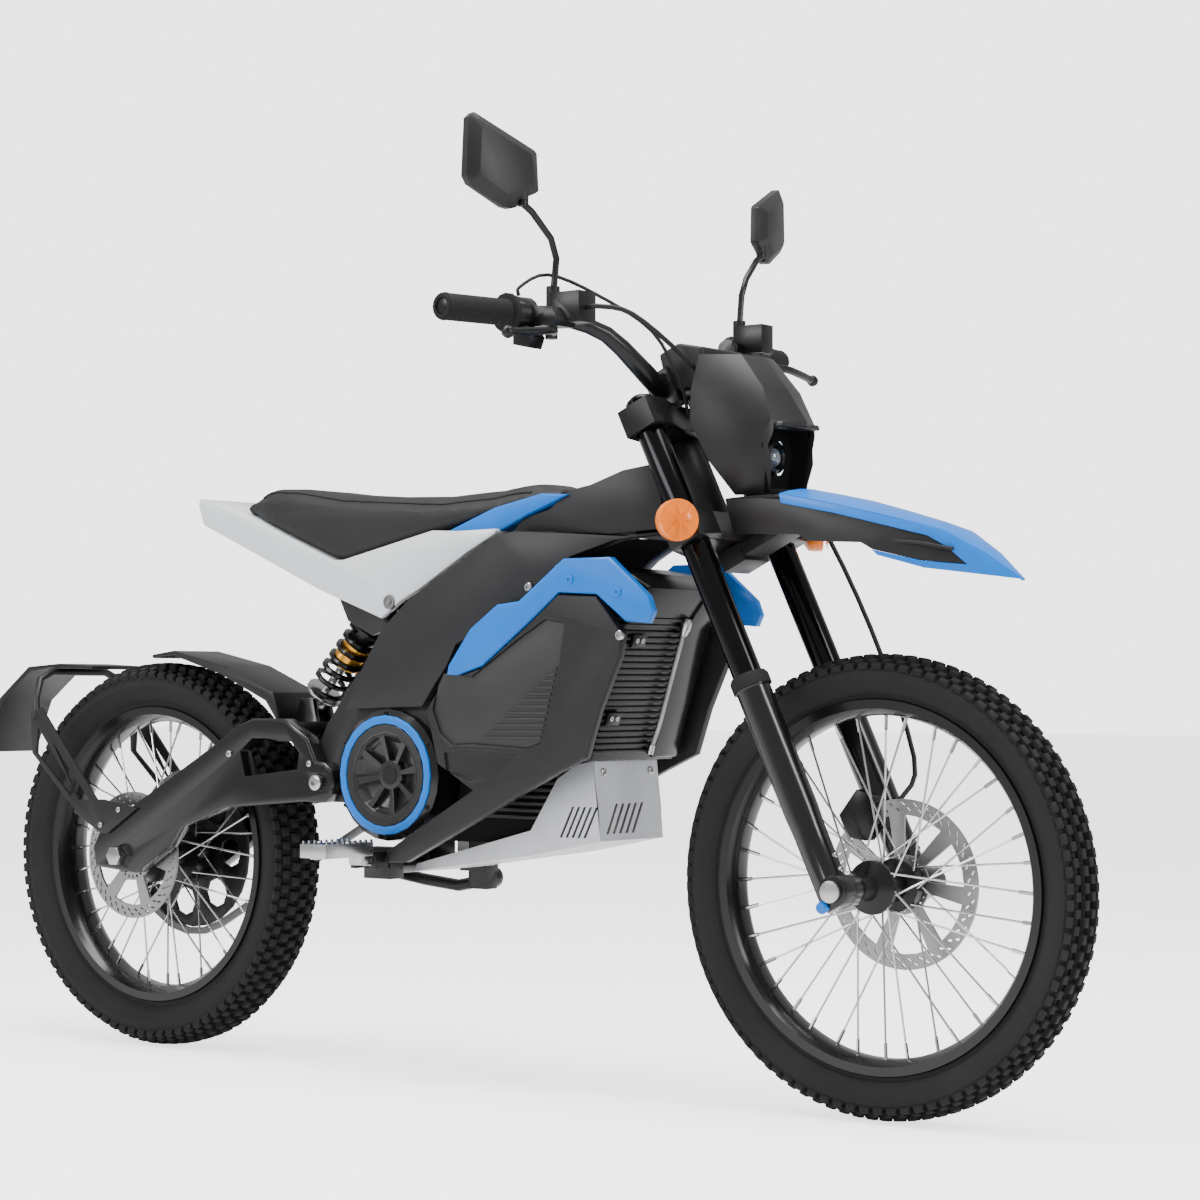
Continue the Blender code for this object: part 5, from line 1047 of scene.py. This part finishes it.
# Rear suspension ---------------------------------------------------------------------------------
# A boxed swingarm in gloss black with bright bolts, one coil-over shock with a gold preload sleeve,
# the fender stay and the moulded hugger and rear fender that go with the wheel.
rounded("swingarm", 0.0030, gloss_black)
rounded("fender_stay", 0.0010, satin_black)
rounded("rear_fender", 0.0015, satin_black)
rounded("hugger", 0.0020, satin_black)
rounded("rear_axle", 0.0008, bright_metal)
rounded("rear_caliper", 0.0010, cast_metal)
arm_bolts = []
for side in (-1, 1):
    for x, z, y, radius in (
        (-0.3968, 0.4748, 0.1070, 0.0052),
        (-0.2288, 0.4620, 0.1070, 0.0048),
        (-0.21175, 0.434, 0.1080, 0.0120),
        (-0.6379, 0.3826, 0.1113, 0.0045),
        (-0.6790, 0.3575, 0.1113, 0.0045),
    ):
        arm_bolts.append(screw((x, side * y, z), (0, side, 0), radius, radius * 0.6))
dress(joined(arm_bolts, "swingarm_bolts"), bright_metal, "swingarm", 40)
SHOCK_LOW = Vector((-0.31675, 0, 0.548))
SHOCK_HIGH = Vector((-0.17175, 0, 0.700))
SHOCK_AXIS = (SHOCK_HIGH - SHOCK_LOW).normalized()
rounded("shock_body", 0.0008, black_metal)
rounded("shock_rod", 0.0006, bright_metal)
gold = finish("gold_anodised", (0.62, 0.30, 0.04), 0.28, metallic=0.9, grain=900, bump=0.05, drift=0.1)
sleeve = revolved(
    [
        (0.092, 0.0212), (0.092, 0.0238), (0.106, 0.0238), (0.108, 0.0228), (0.122, 0.0228),
        (0.124, 0.0238), (0.132, 0.0238), (0.132, 0.0212),
    ],
    SHOCK_LOW, SHOCK_AXIS, 40, "preload_sleeve",
)
dress(sleeve, gold, "shock_body", 30)
spring = rounded_copy("shock_spring", 0, "shock_coil")
dress(spring, gloss_black, "shock_body", 60)
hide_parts("shock_spring")
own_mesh(spring)


# Drive, stand and foot pegs ----------------------------------------------------------------------
# A roller chain between blackened sprockets on the left, a tubular side stand, and folding cast
# pegs whose two long edges carry rows of teeth.
rounded("chain", 0.0006, cast_metal)
rounded("drive_sprocket", 0.0006, cast_metal)
rounded("rear_sprocket", 0.0006, black_metal)
rounded("side_stand", 0.0015, black_metal)
rounded("peg_carrier", 0.0015, black_metal)
for side, label in ((-1, "right"), (1, "left")):
    node = "foot_peg_" + label
    rounded(node, 0.0012, bright_metal)
    low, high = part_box(node)
    teeth = []
    for edge in (low.x + 0.0025, high.x - 0.0025):
        for i in range(9):
            y = side * (0.162 + i * (max(abs(low.y), abs(high.y)) - 0.168) / 8)
            tooth = extruded(
                [
                    (edge - 0.0022, high.z - 0.002), (edge + 0.0022, high.z - 0.002),
                    (edge + 0.0012, high.z + 0.0042), (edge - 0.0012, high.z + 0.0042),
                ],
                y - 0.0018, y + 0.0018,
            )
            teeth.append(tooth)
    dress(joined(teeth, "peg_teeth_" + label), bright_metal, node, 30)


# Tyres -------------------------------------------------------------------------------------------
# Trials-pattern tyres: a smooth carcass with two moulded lines on each wall, and staggered rows of
# rubber blocks across the crown and shoulders. Both are made the same way in their own sizes.
FRONT_AXLE = (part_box("front_axle")[0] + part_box("front_axle")[1]) / 2
REAR_AXLE = (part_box("rear_axle")[0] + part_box("rear_axle")[1]) / 2
FRONT_AXLE.y = 0.0
REAR_AXLE.y = 0.0
tread_rubber = finish(
    "tyre_rubber", (0.012, 0.012, 0.0125), 0.78, grain=700, bump=0.35, drift=0.2, specular=0.2,
)


def turned(name, profile, centre, steps=96):
    """A ring spun round the Y axis through centre from a closed outline of (sideways, radius) points."""
    rest()
    bpy.ops.mesh.primitive_circle_add(vertices=len(profile), location=(0, 0, 0))
    piece = bpy.context.object
    piece.name = name
    for vertex, (sideways, radius) in zip(piece.data.vertices, profile):
        vertex.co = (centre.x + radius, centre.y + sideways, centre.z)
    bpy.ops.object.mode_set(mode="EDIT")
    bpy.ops.mesh.select_all(action="SELECT")
    bpy.ops.mesh.spin(steps=steps, angle=2 * math.pi, center=centre, axis=(0, 1, 0))
    bpy.ops.mesh.select_all(action="SELECT")
    bpy.ops.mesh.remove_doubles(threshold=0.00002)
    bpy.ops.mesh.normals_make_consistent(inside=False)
    bpy.ops.object.mode_set(mode="OBJECT")
    return piece


def copied_round(piece, centre, count, axis=(0, 1, 0)):
    """Repeats the piece's mesh at equal steps all the way round an axis."""
    take(piece)
    bpy.ops.object.transform_apply(location=True, rotation=True, scale=True)
    bpy.ops.object.mode_set(mode="EDIT")
    bpy.ops.mesh.select_all(action="SELECT")
    bpy.ops.mesh.spin(
        steps=count - 1, angle=2 * math.pi * (count - 1) / count, center=centre, axis=axis, dupli=True
    )
    bpy.ops.object.mode_set(mode="OBJECT")
    return piece


def tread_block(centre, turn, sideways, radius, tilt, size):
    """One rubber block, its top face shrunk and its edges rounded, standing on the crown."""
    rest()
    bpy.ops.mesh.primitive_cube_add(size=1, location=(0, 0, 0))
    block = bpy.context.object
    bpy.ops.object.mode_set(mode="EDIT")
    mesh = bmesh.from_edit_mesh(block.data)
    for face in mesh.faces:
        face.select = face.normal.z > 0.9
    bpy.ops.mesh.select_mode(type="FACE")
    bpy.ops.transform.resize(value=(0.84, 0.84, 1), center_override=(0, 0, 0.5))
    bpy.ops.mesh.bevel(offset=0.07, segments=1)
    bpy.ops.object.mode_set(mode="OBJECT")
    stand = Matrix.Translation(centre) @ Matrix.Rotation(turn, 4, "Y")
    stand = stand @ Matrix.Translation((0, sideways, 0)) @ Matrix.Translation((0, 0, radius))
    stand = stand @ Matrix.Rotation(tilt, 4, "X") @ Matrix.Translation((0, 0, -size[2] / 2))
    block.data.transform(stand @ Matrix.Diagonal((*size, 1)))
    return block


def tyre(name, node, axle, body, pitches, bead_r):
    low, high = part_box(node)
    radius = (high.z - low.z) / 2
    half = (high.y - low.y) / 2
    height = radius - bead_r
    skin = 0.0085
    shoulder_y = half * 0.97
    shoulder_r = bead_r + 0.80 * height
    profile = [
        (-half * 0.55, bead_r + 0.0006),
        (-half * 0.57, bead_r + 0.20 * height),
        (-half * 0.78, bead_r + 0.30 * height),
        (-half * 0.80, bead_r + 0.33 * height),
        (-half * 0.90, bead_r + 0.42 * height),
        (-half * 0.97, bead_r + 0.54 * height),
        (-half * 0.93, bead_r + 0.66 * height),
        (-half * 0.80, shoulder_r - 0.004),
        (-half * 0.45, radius - skin - 0.0045),
        (0.0, radius - skin),
    ]
    profile += [(-y, r) for y, r in reversed(profile[:-1])]
    carcass = turned(name + "_carcass", profile, axle, 128)
    slope = math.atan2(radius - shoulder_r, shoulder_y - half * 0.30)
    pitch = 2 * math.pi / pitches
    length = radius * pitch
    rows = [
        (0.00, 0.0, 0.0, (length * 0.60, half * 0.30, skin)),
        (0.36, 0.5, 0.18, (length * 0.66, half * 0.26, skin)),
        (0.68, 0.0, 0.75, (length * 0.62, half * 0.26, skin * 1.05)),
        (0.93, 0.5, 1.25, (length * 0.70, half * 0.20, skin * 1.1)),
    ]
    blocks = []
    for share, phase, lean, size in rows:
        for side in (-1, 1) if share else (1,):
            sideways = side * half * share
            drop = max(abs(sideways) - half * 0.30, 0) * math.tan(slope)
            block = tread_block(
                axle, phase * pitch, sideways, radius - 0.0004 - drop, -side * slope * lean, size,
            )
            blocks.append(copied_round(block, axle, pitches))
    piece = joined([carcass] + blocks, name)
    dress(piece, tread_rubber, body, 30)
    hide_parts(node)


FRONT_BEAD_R = 0.2413
REAR_BEAD_R = 0.2286
tyre("front_tyre_moulded", "front_tyre", FRONT_AXLE, "front_wheel", 88, FRONT_BEAD_R)
tyre("rear_tyre_moulded", "rear_tyre", REAR_AXLE, "rear_wheel", 84, REAR_BEAD_R)


# Rims, spokes and hubs ---------------------------------------------------------------------------
# Extruded and rolled alloy rims in gloss black, thirty-six laced steel spokes,
# and black turned hubs with a ring of small bolts that hold the brake disc.
spoke_steel = finish(
    "spoke_steel", (0.50, 0.50, 0.51), 0.22, metallic=1.0, grain=900, bump=0.05, drift=0.08,
)


def spokes(name, axle, flange_r, flange_y, rim_r, body):
    """Four starting spokes, one for each side and lean, copied nine times round the wheel."""
    parts = []
    for i in range(4):
        side = 1 if i % 2 else -1
        lean = math.radians(38) * (1 if i < 2 else -1)
        apart = 0.0019 * (1 if lean > 0 else -1)
        at_rim = 2 * math.pi * i / 36
        at_hub = at_rim + lean
        inner = axle + Vector(
            (math.cos(at_hub) * flange_r, side * (flange_y + apart), math.sin(at_hub) * flange_r)
        )
        outer = axle + Vector((math.cos(at_rim) * rim_r, side * (0.005 + apart), math.sin(at_rim) * rim_r))
        run = outer - inner
        for start, end, radius, sides in ((0.0, 1.0, 0.0015, 8), (0.90, 0.995, 0.0027, 6)):
            rest()
            middle = inner + run * (start + end) / 2
            bpy.ops.mesh.primitive_cylinder_add(
                vertices=sides, radius=radius, depth=run.length * (end - start),
            )
            bar = bpy.context.object
            turn = run.to_track_quat("Z", "Y").to_matrix().to_4x4()
            bar.data.transform(Matrix.Translation(middle) @ turn)
            parts.append(copied_round(bar, axle, 9))
    return dress(joined(parts, name), spoke_steel, body, 40)


def rim_and_hub(node, axle, body, seat_r, half, depth, hub, label):
    lip = half + 0.0006
    rim_profile = [
        (-lip - 0.0045, seat_r + 0.0080),
        (-lip - 0.0020, seat_r + 0.0095),
        (-lip, seat_r + 0.0085),
        (-lip + 0.0006, seat_r),
        (-lip * 0.5, seat_r - 0.004),
        (lip * 0.5, seat_r - 0.004),
        (lip - 0.0006, seat_r),
        (lip, seat_r + 0.0085),
        (lip + 0.0020, seat_r + 0.0095),
        (lip + 0.0045, seat_r + 0.0080),
        (lip + 0.0042, seat_r - 0.004),
        (lip * 0.95, seat_r - 0.0075),
        (lip * 0.60, seat_r - depth + 0.0015),
        (lip * 0.40, seat_r - depth),
        (-lip * 0.40, seat_r - depth),
        (-lip * 0.60, seat_r - depth + 0.0015),
        (-lip * 0.95, seat_r - 0.0075),
        (-lip - 0.0042, seat_r - 0.004),
    ]
    rim = turned(label + "_rim", rim_profile, axle, 144)
    dress(rim, gloss_black, body, 30)
    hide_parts(node)
    hub_piece = turned(
        label + "_hub",
        [(y, r) for y, r in hub] + [(y, 0.0088) for y, _ in (hub[-1], hub[0])],
        axle, 48,
    )
    dress(hub_piece, black_metal, body, 30)


front_hub = [
    (-0.0783, 0.0140), (-0.0600, 0.0145), (-0.0440, 0.0175), (-0.0350, 0.0345), (-0.0340, 0.0360),
    (-0.0270, 0.0360), (-0.0255, 0.0340), (-0.0210, 0.0225), (0.0, 0.0205), (0.0210, 0.0225),
    (0.0255, 0.0340), (0.0270, 0.0360), (0.0465, 0.0360), (0.0474, 0.0350), (0.0476, 0.0208),
    (0.0560, 0.0208), (0.0600, 0.0165), (0.0783, 0.0140),
]
rear_hub = [
    (-0.0812, 0.0150), (-0.0776, 0.0150), (-0.0774, 0.0205), (-0.0722, 0.0208), (-0.0718, 0.0360),
    (-0.0500, 0.0400), (-0.0360, 0.0450), (-0.0350, 0.0460), (-0.0270, 0.0460), (-0.0230, 0.0300),
    (0.0, 0.0270), (0.0230, 0.0300), (0.0270, 0.0460), (0.0575, 0.0460), (0.0583, 0.0450),
    (0.0585, 0.0284), (0.0680, 0.0284), (0.0700, 0.0150), (0.0812, 0.0150),
]
rim_and_hub("front_wheel_core", FRONT_AXLE, "front_wheel", FRONT_BEAD_R, 0.0212, 0.013, front_hub, "front")
rim_and_hub("rear_wheel_core", REAR_AXLE, "rear_wheel", REAR_BEAD_R, 0.0271, 0.015, rear_hub, "rear")
spokes("front_spokes", FRONT_AXLE, 0.0325, 0.0300, FRONT_BEAD_R - 0.0125, "front_wheel")
spokes("rear_spokes", REAR_AXLE, 0.0425, 0.0300, REAR_BEAD_R - 0.0145, "rear_wheel")


# Brake discs -------------------------------------------------------------------------------------
# Laser-cut stainless discs: a friction band with slanted slots, swept arms, an inner bolting ring
# with its own row of windows, and round-head bolts into the hub. The faces are brushed in circles.
def brushed_round(name, colour, roughness, centre):
    """Brushed metal whose scratches run in circles round a wheel's axle."""
    material = finish(name, colour, roughness, metallic=1.0, grain=500, bump=0.04, drift=0.06)
    nodes = material.node_tree.nodes
    links = material.node_tree.links
    place = nodes.new("ShaderNodeTexCoord")
    shift = nodes.new("ShaderNodeMapping")
    shift.inputs["Location"].default_value = (-centre.x, 0, -centre.z)
    flat = nodes.new("ShaderNodeVectorMath")
    flat.operation = "MULTIPLY"
    flat.inputs[1].default_value = (1, 0, 1)
    far = nodes.new("ShaderNodeVectorMath")
    far.operation = "LENGTH"
    lines = nodes.new("ShaderNodeTexNoise")
    lines.noise_dimensions = "1D"
    lines.inputs["Scale"].default_value = 2600
    relief = nodes.new("ShaderNodeBump")
    relief.inputs["Strength"].default_value = 0.25
    relief.inputs["Distance"].default_value = 0.0003
    links.new(place.outputs["Object"], shift.inputs["Vector"])
    links.new(shift.outputs["Vector"], flat.inputs[0])
    links.new(flat.outputs["Vector"], far.inputs[0])
    links.new(far.outputs["Value"], lines.inputs["W"])
    links.new(lines.outputs["Fac"], relief.inputs["Height"])
    links.new(relief.outputs["Normal"], nodes["Principled BSDF"].inputs["Normal"])
    return material


def polar(centre, radius, turn):
    return (centre.x + radius * math.cos(turn), centre.z + radius * math.sin(turn))


def brake_disc(name, node, axle, body, arms, hole_r, sweep):
    low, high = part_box(node)
    radius = (high.x - low.x) / 2
    middle = (low.y + high.y) / 2
    band = radius - 0.0210
    disc = turned(name, [(low.y, hole_r), (low.y, radius), (high.y, radius), (high.y, hole_r)], axle, 128)
    step = 2 * math.pi / arms
    window = []
    for share in (0.0, 0.25, 0.5, 0.72):
        window.append(polar(axle, band, step * share))
    for share in (0.40, 0.20, 0.0, -0.18):
        window.append(polar(axle, hole_r + 0.019, step * (share + sweep)))
    cutters = [copied_round(extruded(window, low.y - 0.01, high.y + 0.01), axle, arms)]
    slots = 36
    for reach, phase in ((radius - 0.0065, 0.0), (radius - 0.0135, 0.5)):
        slot = []
        for along, across in (
            (-0.0034, -0.0013), (0.0034, -0.0013), (0.0042, 0.0), (0.0034, 0.0013), (-0.0034, 0.0013),
            (-0.0042, 0.0),
        ):
            turned_x = along * math.cos(0.9) - across * math.sin(0.9)
            turned_z = along * math.sin(0.9) + across * math.cos(0.9)
            slot.append((axle.x + reach + turned_x, axle.z + turned_z))
        cutter = extruded(slot, low.y - 0.01, high.y + 0.01)
        spread = copied_round(cutter, axle, slots)
        spread.data.transform(
            Matrix.Translation(axle) @ Matrix.Rotation(
                phase * 2 * math.pi / slots, 4, "Y",
            ) @ Matrix.Translation(-axle)
        )
        cutters.append(spread)
    tone = [
        polar(axle, hole_r + 0.0155, 0.0), polar(axle, hole_r + 0.0155, 0.10),
        polar(axle, hole_r + 0.0115, 0.10), polar(axle, hole_r + 0.0115, 0.0),
    ]
    cutters.append(copied_round(extruded(tone, low.y - 0.01, high.y + 0.01), axle, 24))
    cut_away(disc, cutters)
    dress(disc, brushed_round(name + "_steel", (0.30, 0.30, 0.305), 0.34, axle), body, 30)
    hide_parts(node)
    outside = high.y if middle > 0 else low.y
    side = 1 if middle > 0 else -1
    rest()
    bpy.ops.mesh.primitive_cylinder_add(vertices=12, radius=0.0040, depth=0.003)
    head = bpy.context.object
    turn = Matrix.Rotation(math.radians(90), 4, "X")
    head.data.transform(
        Matrix.Translation((axle.x + hole_r + 0.0065, outside + side * 0.0012, axle.z)) @ turn
    )
    dress(copied_round(head, axle, 6), black_metal, body, 30).name = name + "_bolts"


brake_disc("front_brake_disc", "front_disc", FRONT_AXLE, "front_wheel", 7, 0.0215, 0.30)
brake_disc("rear_brake_disc", "rear_disc", REAR_AXLE, "rear_wheel", 6, 0.0215, 0.30)
